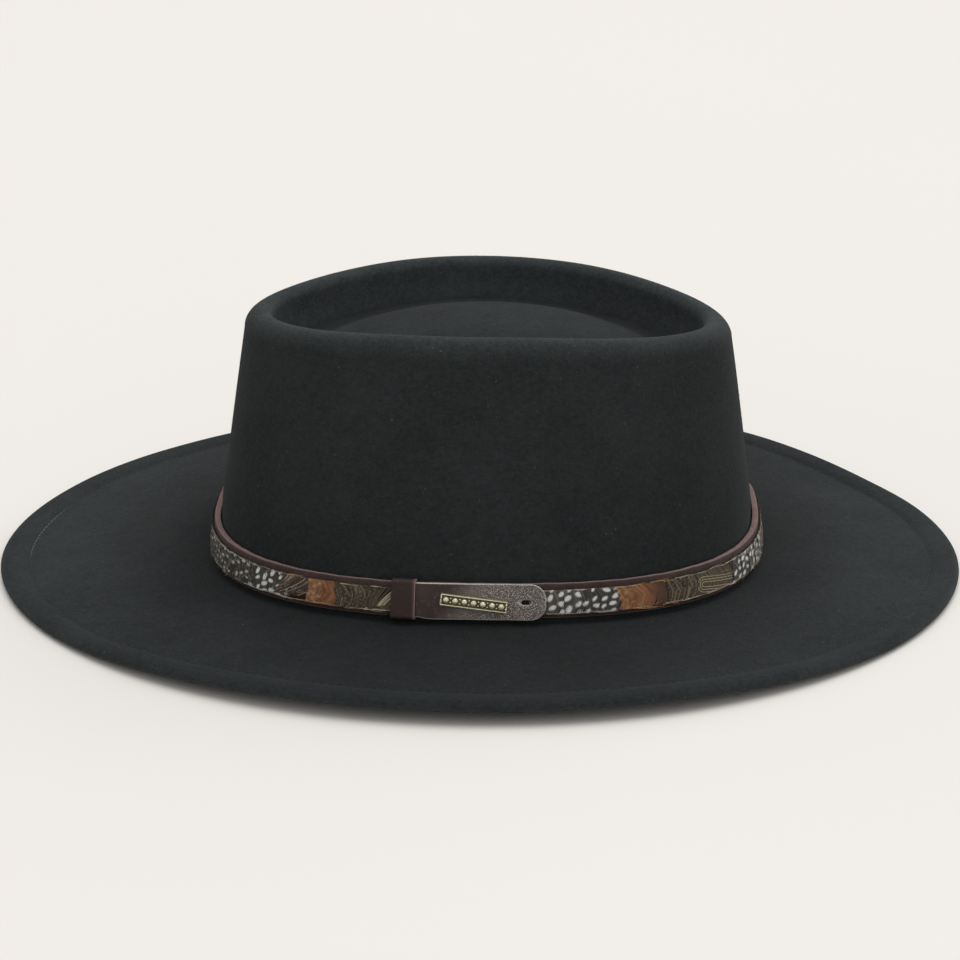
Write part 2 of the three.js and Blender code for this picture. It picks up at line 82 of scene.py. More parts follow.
# What blocking by hand does to the felt, with heights from the floor: lumps above the band and on
# the brim, a crown drawn up and in towards its top, and a wall that is fuller near its foot in
# front and at the back. Pairs say where something starts and where it is complete.
LUMP_SIZE = 0.55
LUMPS_UP_THE_WALL = (24, 42)
LUMPS_OUT_THE_BRIM = (8, 26)
LUMPS_OFF_THE_FLOOR = (0.4, 3)
CROWN_ABOVE = 40
CROWN_DRAWN = (34, 88)
DRAWN_UP = 0.8
DRAWN_UNEVENLY = 0.9
UNEVEN_FROM_MIDDLE = (6, 52)
DRAWN_IN_SHARE = 0.026
FULL_FOOT = 0.7
FULL_FOOT_GROWS = (18, 30)
FULL_FOOT_FADES = (30, 85)

# A squarish oval that clears the foot of the crown.
CLEAR_HALF_LENGTH = 103
CLEAR_HALF_WIDTH = 88
CLEAR_SQUARENESS = 2.5
CLEAR_MARGIN = 1.02

# Painted light on the felt, a lighter colour where more light falls: row of the felt, share, and
# how much more of it at the front and the back of the hat.
PAINTED_LIGHT_ROWS = [
    (0, 0.28, 0),  # dome
    (14, 0.32, 0),
    (20, 0.42, 0),
    (25, 0.1, 0),
    (32, 0.14, 0),  # moat
    (38, 0.72, 0),
    (45, 1, 0),  # ridge
    (55, 0.8, 0),
    (60, 0.5, -0.1),
    (66, 0.3, -0.22),  # wall
    (92, 0.26, -0.22),
    (100, 0, 0),  # brim
    (116, 0, 0.34),
    (128, 0.04, 0.38),
    (142, 0.12, 0.32),  # welt
    (150, 0.12, 0.2),
    (158, 0.4, 0.2),
]

# Slow waves of the brim: direction in degrees from the back towards the wearer's right, breadth
# in degrees and lift at the edge. They grow over a distance from the crown.
BRIM_WAVES = [(150, 12, 1.3), (52, 15, 1.9)]
WAVES_GROW = (10, 70)

# Meridians to the front, the back and the two sides: half-widths of the crown's foot and top,
# width of the brim, how far the ridge dips, drop of the shoulder and lift of the brim edge.
MERIDIANS = {
    "front": dict(foot=CROWN_LENGTH / 2, top=92.6, brim=85.5, dip=5.1, shoulder=7, lift=0),
    "back": dict(foot=CROWN_LENGTH / 2, top=92.6, brim=79.4, dip=7.3, shoulder=7, lift=0),
    "side": dict(foot=CROWN_WIDTH / 2, top=63.8, brim=76.5, dip=0, shoulder=8.5, lift=4.2),
}
HAT_SHIFT = (MERIDIANS["front"]["brim"] - MERIDIANS["back"]["brim"]) / 2

# Stitches of the welt. Between two directions, in degrees from the front towards the wearer's
# right, they get a painted highlight, which fades in and out over a few degrees at each end.
STITCH_PITCH = 3.2
STITCH_LENGTH = 2.5
HEM_ROWS = 4
STITCH_HIGHLIGHT_FROM = -7
STITCH_HIGHLIGHT_TO = 15
STITCH_HIGHLIGHT_EASE = 5

# Band.
GAP = 0.3
STRAP_STANDOFF = 0.5
STRAP_HEIGHT = 12.6
STRAP_THICKNESS = 2.5
STRAP_BOTTOM = 1.6
STRAP_ROUNDING = 0.55
STRAP_RINGS = 720
FOOT_STEPS = 5761
STRAP_TOP = STRAP_BOTTOM + STRAP_HEIGHT
CLOSURE_SHIFT = -3.35
CLOSURE_HALF = 27.75
CLOSURE_EASE = 14
KEEPER_WIDTH = 8.6
KEEPER_THICKNESS = 0.7
KEEPER_INNER_RADIUS = 0.6
KEEPER_ROUNDING = 0.32
TONGUE_THICKNESS = 1.3
TONGUE_OVERHANG = 0.6
TONGUE_SPREAD = 6
TONGUE_TIP_RADIUS = 5.6
TONGUE_TUCK = 4
TONGUE_EDGE = 0.38
TONGUE_POINTS = 320
SLIT_LIP = 0.12
TONGUE_RISE_START = 14
TONGUE_RISE_END = 7
SLIT_LENGTH = 3.8
SLIT_WIDTH = 1.8
SLIT_FROM_TIP = 7
FEATHER_BACKING = 0.45
FEATHER_RELIEF = 0.5
FEATHER_TOP = STRAP_TOP - 2.4
FEATHER_BOTTOM = STRAP_BOTTOM + 1.5
FEATHER_TUCK = 6.2
DOWN_STEPS = 700
BAR_LENGTH = 24.6
BAR_HEIGHT = 4.5
BAR_THICKNESS = 1.5
BAR_TILT = 6.5
BAR_FROM_TIP = 25.9
BAR_DOWN = 0.4
BAR_STANDOFF = 0.48
BAR_CORNER = 0.45
BAR_RIM = 0.4
BAR_FIELD_DEPTH = 0.32
BEAD_COUNT = 7
BEAD_RADIUS = 1.1
BEAD_RISE = 0.5
PETAL_RISE = 0.35

KEEPER_START = CLOSURE_SHIFT - CLOSURE_HALF
KEEPER_END = KEEPER_START + KEEPER_WIDTH
TONGUE_START = KEEPER_END - TONGUE_TUCK
TONGUE_TIP = CLOSURE_SHIFT + CLOSURE_HALF
TONGUE_MIDDLE = (STRAP_BOTTOM - TONGUE_OVERHANG + STRAP_TOP) / 2

# Runs of feathers: where each one starts, in millimetres along the band from the middle of the
# hat's left side, and its kind.
SPECKLED, SPOTTED, FINE_SPECKLED, SWEPT, RUSSET, MOTTLED, STRAW, FANNED = range(8)
FEATHER_RUNS = [
    (18, SPECKLED),
    (37, SPOTTED),
    (51, RUSSET),
    (69.5, MOTTLED),
    (82.5, STRAW),
    (101.5, SPOTTED),
    (136, SWEPT),
    (146, RUSSET),
    (162, MOTTLED),
    (175, STRAW),
    (193, SPECKLED),
    (226, SWEPT),
    (236, RUSSET),
    (252, MOTTLED),
    (265, STRAW),
    (283, SPECKLED),
    (318, SWEPT),
    (328, RUSSET),
    (344, MOTTLED),
    (357, STRAW),
    (375, SPECKLED),
    (408, SWEPT),
    (418, RUSSET),
    (434, MOTTLED),
    (447, STRAW),
    (465, FINE_SPECKLED),
    (542, SPOTTED),
    (555, SWEPT),
    (566, RUSSET),
    (577, MOTTLED),
    (588, FANNED),
]

# For each kind of feather, how much of it shows before the next one covers it, and how far its
# barbs sweep towards its tip.
FEATHERS = {
    SPECKLED: dict(shows=7.4, sweep=3.6),
    SPOTTED: dict(shows=6.8, sweep=3.6),
    FINE_SPECKLED: dict(shows=5.8, sweep=3.6),
    SWEPT: dict(shows=9.5, sweep=8.5),
    RUSSET: dict(shows=17, sweep=4.2),
    MOTTLED: dict(shows=6.6, sweep=3.6),
    STRAW: dict(shows=19, sweep=4.5),
    FANNED: dict(shows=11, sweep=-12),
}

# Kinds whose shaft keeps its own height from the middle of the strip. The others wander.
SHAFT_HEIGHTS = {STRAW: 0, SWEPT: 4.1, FANNED: -3.7}
SHAFT_WANDER = 2

# A vane: how far it runs on under the next, its barbs a side, steps along a barb, how far the
# longest barb reaches from the shaft, the distances from the tip over which reach and sweep
# grow, how far vanes are turned in radians, and the rounding of the pencil lines.
FEATHER_LAP = 5.5
VANE_BARBS = 44
VANE_STEPS = 12
VANE_REACH = 6.8
REACH_GROWS_OVER = 13.5
SWEEP_GROWS_OVER = 5.6
VANE_TURN = 0.13
PENCIL_ROUNDING = 2.6

# Single barbs, trimmed at the borders or come loose, and the points along each.
FRINGE_BARBS = 620
LOOSE_BARBS = 240
BARB_STEPS = 7

# Stretches of the band where the fringe is orange, as the russet feathers there are, and places
# where barbs have come loose, with how far they scatter.
ORANGE_STRETCHES = [(50, 75), (556, 580)]
LOOSE_PLACES = [(122, 9), (508, 26)]


def smoothstep(start, end, value):
    """0 before start, 1 after end, and 3t^2 - 2t^3 between them."""
    t = np.clip((value - start) / (end - start), 0, 1)
    return t * t * (3 - 2 * t)


def lerp(a, b, t):
    """a at 0, b at 1."""
    return a + (b - a) * t


# Felt body.


def cubic(start, pull_start, pull_end, end, steps):
    """Points of (1-t)^3 A + 3t(1-t)^2 B + 3t^2(1-t) C + t^3 D, without the first."""
    t = np.linspace(0, 1, steps + 1)[1:, None]
    a, b, c, d = (np.asarray(p, float) for p in (start, pull_start, pull_end, end))
    return (1 - t) ** 3 * a + 3 * t * (1 - t) ** 2 * b + 3 * t**2 * (1 - t) * c + t**3 * d


def arc(centre, reach, start, end, steps):
    """Points of centre + reach (cos a, sin a) from one angle to another in degrees, without the first."""
    angle = np.radians(np.linspace(start, end, steps + 1)[1:, None])
    return np.asarray(centre) + np.asarray(reach) * np.hstack([np.cos(angle), np.sin(angle)])


# Stretches of the meridian that differ in how square their ovals are.
TOP, WALL, BREAK, BRIM, GROOVE = range(5)


def outer_meridian(m):
    """The felt's outer line from the top of the dome to the groove: a cubic for the dome, one for
    the moat's wall, arcs for the two rolls of the ridge, a cubic down the wall, an arc for the
    break and a cubic over the brim. Columns: reach, height, squareness of the oval, level."""
    ridge = BREAK_HEIGHT + CROWN_HEIGHT - m["dip"]
    moat = BREAK_HEIGHT + CROWN_HEIGHT - MOAT_DEPTH - m["dip"]
    top, foot, shoulder = m["top"], m["foot"], m["shoulder"]
    ridge_at = top - SHOULDER_REACH
    roll_at = ridge_at - ROLL_RADIUS
    moat_at = roll_at - MOAT_REACH
    dome = BREAK_HEIGHT + CROWN_HEIGHT - DOME_DROP
    wall_top = np.array([top, ridge - shoulder])
    wall_foot = np.array([foot, BREAK_HEIGHT + BREAK_RADIUS])
    groove = m["lift"] + WELT_THICKNESS - WELT_RISE
    edge = foot + m["brim"]
    brim_start = np.array([foot + BREAK_RADIUS, BREAK_HEIGHT])
    brim_end = np.array([edge - WELT_WIDTH - GROOVE_WIDTH, groove])
    swell_top = [WALL_BULGE * WALL_SWELL_TOP, 0]
    swell_foot = [WALL_BULGE * WALL_SWELL_FOOT, 0]
    brim_pull = [lerp(brim_start[0], brim_end[0], 0.4), lerp(brim_start[1], brim_end[1], 0.22)]
    brim_push = [lerp(brim_start[0], brim_end[0], 0.75), lerp(brim_start[1], brim_end[1], 0.7)]
    stretches = [
        (
            cubic(
                [0, dome],
                [moat_at * DOME_CROWN, dome],
                [moat_at * (1 - DOME_FOOT), moat],
                [moat_at, moat],
                30,
            ),
            TOP,
        ),
        (
            cubic(
                [moat_at, moat],
                [moat_at + MOAT_REACH * 0.7, moat],
                [roll_at, lerp(moat, ridge, 0.3)],
                [roll_at, ridge - ROLL_RADIUS],
                14,
            ),
            TOP,
        ),
        (arc([ridge_at, ridge - ROLL_RADIUS], [ROLL_RADIUS, ROLL_RADIUS], 180, 90, 9), TOP),
        (arc([ridge_at, ridge - shoulder], [SHOULDER_REACH, shoulder], 90, 0, 12), TOP),
        (
            cubic(
                wall_top,
                lerp(wall_top, wall_foot, 1 / 3) + swell_top,
                lerp(wall_top, wall_foot, 2 / 3) + swell_foot,
                wall_foot,
                26,
            ),
            WALL,
        ),
        (arc(wall_foot + [BREAK_RADIUS, 0], [BREAK_RADIUS, BREAK_RADIUS], 180, 270, 6), BREAK),
        (cubic(brim_start, brim_pull, brim_push, brim_end, 34), BRIM),
        (
            cubic(
                brim_end,
                brim_end + [0.5, 0],
                brim_end + [0.4, -GROOVE_DEPTH],
                brim_end + [GROOVE_WIDTH / 2, -GROOVE_DEPTH],
                4,
            ),
            GROOVE,
        ),
    ]
    rows = [[0, dome, RIDGE_SQUARENESS, 0]]
    for points, kind in stretches:
        share = np.arange(1, len(points) + 1) / len(points)
        squareness = {
            TOP: np.full(len(points), RIDGE_SQUARENESS),
            WALL: lerp(RIDGE_SQUARENESS, FOOT_SQUARENESS, 1 - (1 - share) ** 2),
            BREAK: np.full(len(points), FOOT_SQUARENESS),
            BRIM: lerp(FOOT_SQUARENESS, EDGE_SQUARENESS, share),
            GROOVE: np.full(len(points), EDGE_SQUARENESS),
        }[kind]
        level = share if kind == BRIM else np.full(len(points), float(kind == GROOVE))
        rows.extend(np.column_stack([points, squareness, level]).tolist())
    return np.array(rows)


def welt_meridian(m):
    """The folded edge from the groove over its nose and back under to the cut edge of the felt."""
    edge = m["foot"] + m["brim"]
    groove = m["lift"] + WELT_THICKNESS - WELT_RISE
    top = m["lift"] + WELT_THICKNESS
    middle = m["lift"] + WELT_THICKNESS / 2
    start = [edge - WELT_WIDTH - GROOVE_WIDTH / 2, groove - GROOVE_DEPTH]
    crest = [edge - WELT_WIDTH * 0.5, top]
    points = np.vstack(
        [
            cubic(
                start,
                [start[0] + 0.5, start[1]],
                [start[0] + 0.5, groove],
                [edge - WELT_WIDTH, groove],
                4,
            ),
            cubic([edge - WELT_WIDTH, groove], [edge - 9, groove + 0.6], [edge - 7, top], crest, 6),
            cubic(crest, crest, [edge - WELT_NOSE, top], [edge - WELT_NOSE, top], 3),
            arc([edge - WELT_NOSE, middle], [WELT_NOSE, WELT_THICKNESS / 2], 90, -90, 18),
            cubic(
                [edge - WELT_NOSE, m["lift"]],
                [edge - 6, m["lift"]],
                [edge - 8, m["lift"]],
                [edge - WELT_WIDTH + HEM_ROUNDING, m["lift"]],
                5,
            ),
            arc(
                [edge - WELT_WIDTH + HEM_ROUNDING, m["lift"] + HEM_ROUNDING],
                [HEM_ROUNDING, HEM_ROUNDING],
                270,
                180,
                3,
            ),
        ]
    )
    return np.column_stack([points, np.full(len(points), EDGE_SQUARENESS), np.ones(len(points))])


def inner_meridian(outer):
    """The outer line moved along its own normals by the felt's wall, thinned to every other row."""
    points = outer[:, :2]
    step = np.gradient(points, axis=0)
    step /= np.linalg.norm(step, axis=1, keepdims=True)
    inside = points + FELT * np.column_stack([step[:, 1], -step[:, 0]])
    inside[0] = [0, points[0, 1] - FELT]
    rows = np.column_stack([np.maximum(inside[:, 0], 0), inside[:, 1], outer[:, 2:]])
    keep = np.unique(np.append(np.arange(0, len(rows) - 3, 2), len(rows) - 4))
    return rows[keep][::-1]


def oval_radius(half_front, half_back, half_side, squareness, angle):
    """((|sin a| / side)^n + (|cos a| / end)^n)^(-1/n), where end is the front's or the back's half."""
    across = np.abs(np.sin(angle)) / np.maximum(half_side, 1e-6)
    end = np.where(np.cos(angle) < 0, half_front, half_back)
    along = np.abs(np.cos(angle)) / np.maximum(end, 1e-6)
    return (across**squareness + along**squareness) ** (-1 / squareness)


def lumps(x, y, z, size):
    """Sum of a few sines over the place: the slight unevenness of felt that has been blocked by hand."""
    a = np.sin(x / 23 + 1.3 * np.sin(y / 41) + z / 29) * np.sin(y / 19 + 0.8 + z / 37)
    b = np.sin(x / 11 - y / 13 + z / 9 + 2.1) * 0.45
    c = np.sin(x / 47 + y / 31 + 0.4) * 0.9
    return size * (a + b + c) / 2.35


def past_crown(x, y, angle):
    """How far places of the felt lie outside a squarish oval round the foot of the crown."""
    clear = oval_radius(
        CLEAR_HALF_LENGTH, CLEAR_HALF_LENGTH, CLEAR_HALF_WIDTH, CLEAR_SQUARENESS, angle
    )
    return np.hypot(x, y) - CLEAR_MARGIN * clear


def felt_surface(columns):
    """Points of the felt for every row of the meridian and every direction round the hat. Each row
    is an oval through the front, back and side meridians: (r cos a, r sin a), at a height that goes
    from the ends' to the sides' with sin^2 a on the crown, and with a smooth step of |sin a| on the
    brim, which rests in front and at the back. Then the crown is drawn up and in, its wall filled
    out, the brim waved and all of it made a little lumpy. With the points go two values for the
    finish, nearness to the groove, exp(-t^2) of the rows from it, for painted shade in the groove,
    and the share of painted light, by row and more or less at the front and the back, that makes
    the dome, the moat, the ridge, the welt and the ends of the brim lighter, and the numbers of
    rows outside and in the welt."""
    front, back, side = (
        np.vstack([outer, welt_meridian(m), inner_meridian(outer)])
        for m in (MERIDIANS["front"], MERIDIANS["back"], MERIDIANS["side"])
        for outer in [outer_meridian(m)]
    )
    angle = np.arange(columns) * 2 * np.pi / columns
    f, b, s = (rows[:, :, None] for rows in (front, back, side))
    level = s[:, 3]
    sine = np.abs(np.sin(angle))
    share = lerp(sine**2, smoothstep(REST_SHARE, 1, sine), level)
    end_height = np.where(np.cos(angle) < 0, f[:, 1], b[:, 1])
    radius = oval_radius(f[:, 0], b[:, 0], s[:, 0], s[:, 2], angle)
    radius = np.where(s[:, 0] < 1e-4, 0, radius)
    x = HAT_SHIFT + radius * np.cos(angle)
    y = radius * np.sin(angle)
    z = lerp(end_height, s[:, 1], share)

    height = np.broadcast_to(z, x.shape)
    off_axis = s[:, 0] > 1
    on_crown = height > CROWN_ABOVE
    over_band = smoothstep(*LUMPS_UP_THE_WALL, height)
    on_brim = smoothstep(*LUMPS_OUT_THE_BRIM, past_crown(x, y, angle))
    resting = 1 - smoothstep(*LUMPS_OFF_THE_FLOOR, height)
    swell = lumps(x, y, z, LUMP_SIZE) * (over_band + 0.5 * on_brim * (1 - over_band)) * (1 - resting)
    drawn = smoothstep(*CROWN_DRAWN, height)
    corners = np.sin(2 * angle) ** 2 - np.maximum(np.cos(angle), 0) ** 24
    drawn_up = DRAWN_UP + DRAWN_UNEVENLY * corners * smoothstep(*UNEVEN_FROM_MIDDLE, radius)
    lift = swell * np.where(on_crown, 0.6, 1) + drawn * drawn_up
    edgewards = smoothstep(*WAVES_GROW, past_crown(x, y, angle))
    for direction, breadth, rise in BRIM_WAVES:
        lift = lift + rise * edgewards * np.exp(-(((np.degrees(angle) - direction) / breadth) ** 2))
    full_foot = smoothstep(*FULL_FOOT_GROWS, height) * (1 - smoothstep(*FULL_FOOT_FADES, height))
    x = x + (FULL_FOOT * full_foot + swell * on_crown) * np.cos(angle) * off_axis
    y = y * (1 - DRAWN_IN_SHARE * drawn) + swell * on_crown * np.sin(angle) * off_axis
    z = z + lift

    outside = len(outer_meridian(MERIDIANS["side"]))
    welt = len(welt_meridian(MERIDIANS["side"]))
    row = np.arange(len(side))[:, None]
    groove = np.exp(-(((row - (outside - 1)) / GROOVE_ROWS) ** 2))
    # Painted light by row, more or less of it at the front and the back.
    lit_row, lit_share, more_at_ends = np.array(PAINTED_LIGHT_ROWS).T
    ends = np.interp(row, lit_row, more_at_ends) * np.cos(angle) ** 2
    painted_light = np.interp(row, lit_row, lit_share) + ends
    values = {"groove": groove * np.ones_like(x), "painted_light": painted_light}
    return np.stack([x, y, z], axis=-1), values, outside, welt


# Meshes.


def grid_faces(rows, columns, rows_close=False, columns_close=False):
    """Quads between neighbouring points of a grid, joined round where it closes on itself."""
    i = np.arange(rows if rows_close else rows - 1)[:, None]
    j = np.arange(columns if columns_close else columns - 1)[None, :]
    i_next = (i + 1) % rows
    j_next = (j + 1) % columns
    corners = [i * columns + j, i_next * columns + j, i_next * columns + j_next, i * columns + j_next]
    return np.stack(corners, axis=-1).reshape(-1, 4)


def repeated(faces, count, step):
    """The same faces for each of many equal shapes whose points follow each other."""
    return (faces[None] + (np.arange(count) * step)[:, None, None]).reshape(-1, faces.shape[-1])


def outwards(points, faces):
    """The faces turned so that the signed volume, a sixth of the sum of a . (b x c), is positive."""
    a, b, c = points[faces[:, 0]], points[faces[:, 1]], points[faces[:, 2]]
    volume = np.einsum("ij,ij->i", a, np.cross(b, c)).sum()
    if faces.shape[1] == 4:
        d = points[faces[:, 3]]
        volume += np.einsum("ij,ij->i", a, np.cross(c, d)).sum()
    return faces if volume > 0 else faces[:, ::-1]


def skin(points, rows_close=False, columns_close=False):
    """The quads between the points of a grid, turned outwards."""
    faces = grid_faces(*points.shape[:2], rows_close, columns_close)
    return outwards(points.reshape(-1, 3), faces)


def piece(name, points, faces, finish, node, values=None, merge=False):
    """A piece of the hat from points in millimetres, none of them under the floor, with one value
    or colour a point for its finish."""
    points = np.maximum(np.asarray(points, float).reshape(-1, 3), (-np.inf, -np.inf, 0))
    mesh = bpy.data.meshes.new(name)
    mesh.vertices.add(len(points))
    mesh.vertices.foreach_set("co", (points * METRE).astype(np.float32).ravel())
    size = faces.shape[1]
    mesh.loops.add(faces.size)
    mesh.loops.foreach_set("vertex_index", faces.astype(np.int32).ravel())
    mesh.polygons.add(len(faces))
    mesh.polygons.foreach_set("loop_start", np.arange(0, faces.size, size, dtype=np.int32))
    mesh.polygons.foreach_set("use_smooth", np.ones(len(faces), dtype=bool))
    for key, value in (values or {}).items():
        value = np.asarray(value, np.float32)
        if value.ndim > 1 and value.shape[-1] == 3:
            colour = np.column_stack([value.reshape(-1, 3), np.ones(len(points), np.float32)])
            mesh.attributes.new(key, "FLOAT_COLOR", "POINT").data.foreach_set("color", colour.ravel())
        else:
            mesh.attributes.new(key, "FLOAT", "POINT").data.foreach_set("value", value.ravel())
    mesh.update(calc_edges=True)
    mesh.validate()
    if merge:
        work = bmesh.new()
        work.from_mesh(mesh)
        bmesh.ops.remove_doubles(work, verts=work.verts, dist=1e-6)
        work.to_mesh(mesh)
        work.free()
    mesh.materials.append(finish)
    made = bpy.data.objects.new(name, mesh)
    bpy.context.scene.collection.objects.link(made)
    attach(made, "root")
    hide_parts(node)


# Walking along the band.

foot_angle = -np.pi / 2 + np.linspace(0, 2 * np.pi, FOOT_STEPS)
foot_radius = oval_radius(
    CROWN_LENGTH / 2, CROWN_LENGTH / 2, CROWN_WIDTH / 2, FOOT_SQUARENESS, foot_angle
)
foot_x = foot_radius * np.cos(foot_angle)
foot_y = foot_radius * np.sin(foot_angle)
foot_walked = np.concatenate([[0], np.cumsum(np.hypot(np.diff(foot_x), np.diff(foot_y)))])
FOOT_LENGTH = foot_walked[-1]
FEATHER_START = TONGUE_TIP - FEATHER_TUCK
FEATHER_END = TONGUE_START - GAP + FOOT_LENGTH
FEATHER_HALF = (FEATHER_TOP - FEATHER_BOTTOM) / 2
FEATHER_MIDDLE = (FEATHER_TOP + FEATHER_BOTTOM) / 2


def band_point(along, up, out):
    """Points of the band: along the oval foot of the crown, then up and out in a frame that leans
    back with the wall, (out cos l - up sin l, out sin l + up cos l) for a lean l."""
    along, up, out = np.broadcast_arrays(along, up, out)
    angle = np.interp(np.mod(along, FOOT_LENGTH), foot_walked, foot_angle)
    half_end, half_side = CROWN_LENGTH / 2, CROWN_WIDTH / 2

    def foot(a):
        radius = oval_radius(half_end, half_end, half_side, FOOT_SQUARENESS, a)
        return radius * np.cos(a), radius * np.sin(a)

    x, y = foot(angle)
    ahead_x, ahead_y = foot(angle + 0.01)
    behind_x, behind_y = foot(angle - 0.01)
    run = np.hypot(ahead_x - behind_x, ahead_y - behind_y)
    out_x, out_y = (ahead_y - behind_y) / run, -(ahead_x - behind_x) / run
    front, back, side = (MERIDIANS[name] for name in ("front", "back", "side"))
    polar = np.arctan2(y, x)
    reach = oval_radius(front["foot"], back["foot"], side["foot"], FOOT_SQUARENESS, polar)
    inwards = reach - oval_radius(front["top"], back["top"], side["top"], FOOT_SQUARENESS, polar)
    swell = 3 * WALL_SWELL_FOOT * WALL_BULGE
    lean = np.arctan2(inwards - swell, CROWN_HEIGHT - side["shoulder"] - BREAK_RADIUS)
    flat = out * np.cos(lean) - (up - BREAK_RADIUS) * np.sin(lean)
    rise = out * np.sin(lean) + (up - BREAK_RADIUS) * np.cos(lean)
    height = BREAK_HEIGHT + BREAK_RADIUS + rise
    return np.stack([HAT_SHIFT + x + out_x * flat, y + out_y * flat, height], axis=-1)


def strap_inside(along):
    """The strap stands off the felt by the same amount, and by the keeper's back more at the keeper."""
    middle = (KEEPER_START + KEEPER_END) / 2
    away = np.abs(np.mod(along - middle + FOOT_LENGTH / 2, FOOT_LENGTH) - FOOT_LENGTH / 2)
    swing = 1 - smoothstep(KEEPER_WIDTH / 2 + 1, KEEPER_WIDTH / 2 + CLOSURE_EASE, away)
    return STRAP_STANDOFF + (KEEPER_THICKNESS + GAP) * swing


def strap_outside(along):
    """The strap's outer face."""
    return strap_inside(along) + STRAP_THICKNESS


def tongue_inside(along):
    """The back of the tongue: over the strap, then over the feathers near its tip."""
    rise = 1 - smoothstep(TONGUE_RISE_END, TONGUE_RISE_START, TONGUE_TIP - along)
    return strap_outside(along) + GAP + (FEATHER_BACKING + FEATHER_RELIEF + GAP) * rise


def rounded_box(half_width, half_height, radius, points_a_corner, points_a_side):
    """A closed loop round a box with rounded corners: the centres of its corners and the directions
    away from them, so that centre + r * direction is the loop at any rounding or offset r."""
    corner = np.linspace(0, np.pi / 2, points_a_corner)
    rest = np.linspace(0, 1, points_a_side + 2)[1:-1]
    centres, turns = [], []
    signs = [(1, 1), (-1, 1), (-1, -1), (1, -1)]
    for i, (sx, sy) in enumerate(signs):
        here = np.array([sx * (half_width - radius), sy * (half_height - radius)])
        nx, ny = signs[(i + 1) % 4]
        there = np.array([nx * (half_width - radius), ny * (half_height - radius)])
        centres.append(np.tile(here, (points_a_corner, 1)))
        turns.append(corner + i * np.pi / 2)
        centres.append(here + rest[:, None] * (there - here))
        turns.append(np.full(points_a_side, (i + 1) * np.pi / 2))
    turn = np.concatenate(turns)
    return np.vstack(centres), np.column_stack([np.cos(turn), np.sin(turn)])


# Shader maths.


class Wire:
    """A socket that takes part in sums: each operator adds a Math node to its finish."""

    def __init__(self, finish, socket):
        self.finish = finish
        self.socket = socket

    def maths(self, operation, a, b):
        """The wire of a Math node on two wires or numbers."""
        return self.finish.node("Math", {"operation": operation}, {0: a, 1: b})

    def __add__(self, other):
        return self.maths("ADD", self, other)

    def __radd__(self, other):
        return self.maths("ADD", other, self)

    def __sub__(self, other):
        return self.maths("SUBTRACT", self, other)

    def __rsub__(self, other):
        return self.maths("SUBTRACT", other, self)

    def __mul__(self, other):
        return self.maths("MULTIPLY", self, other)

    def __rmul__(self, other):
        return self.maths("MULTIPLY", other, self)

    def between(self, low, high):
        """0 below low, 1 above high, smooth between."""
        settings = {"interpolation_type": "SMOOTHSTEP"}
        return self.finish.node("MapRange", settings, {"Value": self, "From Min": low, "From Max": high})


class Finish:
    """One material, built from expressions on wires."""

    def __init__(self, name):
        self.material = bpy.data.materials.new(name)
        self.material.use_nodes = True
        self.tree = self.material.node_tree
        self.tree.nodes.clear()
        self.place = self.node("TexCoord", output="Object")

    def node(self, kind, settings=None, inputs=None, output=0):
        """Adds a node of a kind, sets its settings, plugs its sockets and gives the wire that leaves it."""
        made = self.tree.nodes.new("ShaderNode" + kind)
        for key, value in (settings or {}).items():
            setattr(made, key, value)
        for key, value in (inputs or {}).items():
            if isinstance(value, Wire):
                self.tree.links.new(value.socket, made.inputs[key])
            else:
                made.inputs[key].default_value = value
        return Wire(self, made.outputs[output])

    def scaled(self, x, y, z):
        """The place, stretched."""
        return self.node("VectorMath", {"operation": "MULTIPLY"}, {0: self.place, 1: (x, y, z)})

    def noise(self, size, detail=3, roughness=0.55, place=None):
        """Cloudy values from 0 to 1 whose patches are about size millimetres."""
        inputs = {"Vector": place or self.place, "Scale": 1 / (size * METRE)}
        inputs |= {"Detail": detail, "Roughness": roughness}
        return self.node("TexNoise", {}, inputs)

    def value(self, name):
        """The piece's own value of that name, one a point."""
        return self.node("Attribute", {"attribute_name": name}, output="Fac")

    def colour(self, name):
        """The piece's own colour of that name, one a point."""
        return self.node("Attribute", {"attribute_name": name}, output="Color")

    def mix(self, factor, first, second):
        """first where factor is 0, second where it is 1."""
        inputs = {0: factor, 6: opaque(first), 7: opaque(second)}
        return self.node("Mix", {"data_type": "RGBA"}, inputs, output=2)

    def bump(self, height, depth, strength=1, under=None):
        """Relief of depth millimetres."""
        inputs = {"Height": height, "Distance": depth * METRE, "Strength": strength}
        if under:
            inputs["Normal"] = under
        return self.node("Bump", {}, inputs)

    def done(self, **sockets):
        """Closes the finish with its shader: wires for what varies, plain numbers for the rest."""
        named = {key.replace("_", " "): value for key, value in sockets.items()}
        for key in ("Base Color", "Sheen Tint"):
            if key in named:
                named[key] = opaque(named[key])
        shader = self.node("BsdfPrincipled", {}, named)
        out = self.tree.nodes.new("ShaderNodeOutputMaterial")
        self.tree.links.new(shader.socket, out.inputs["Surface"])
        return self.material


def opaque(colour):
    """A colour with its alpha, or the wire as it is."""
    return colour if isinstance(colour, Wire) else (*colour[:3], 1)


def tint(red, green, blue):
    """A colour as it is seen on a screen, from 0 to 255, as the shader's own linear one."""
    seen = np.array([red, green, blue]) / 255
    return tuple(np.where(seen < 0.04045, seen / 12.92, ((seen + 0.055) / 1.055) ** 2.4).tolist())


FELT_DARK = tint(22, 25, 26)
FELT_LIGHT = tint(40, 43, 44)
# Lighter copies of the felt's colours for the painted light.
LIT_FELT_DARK = tint(47, 51, 52)
LIT_FELT_LIGHT = tint(75, 79, 80)
GRAIN_SIZE = 0.6


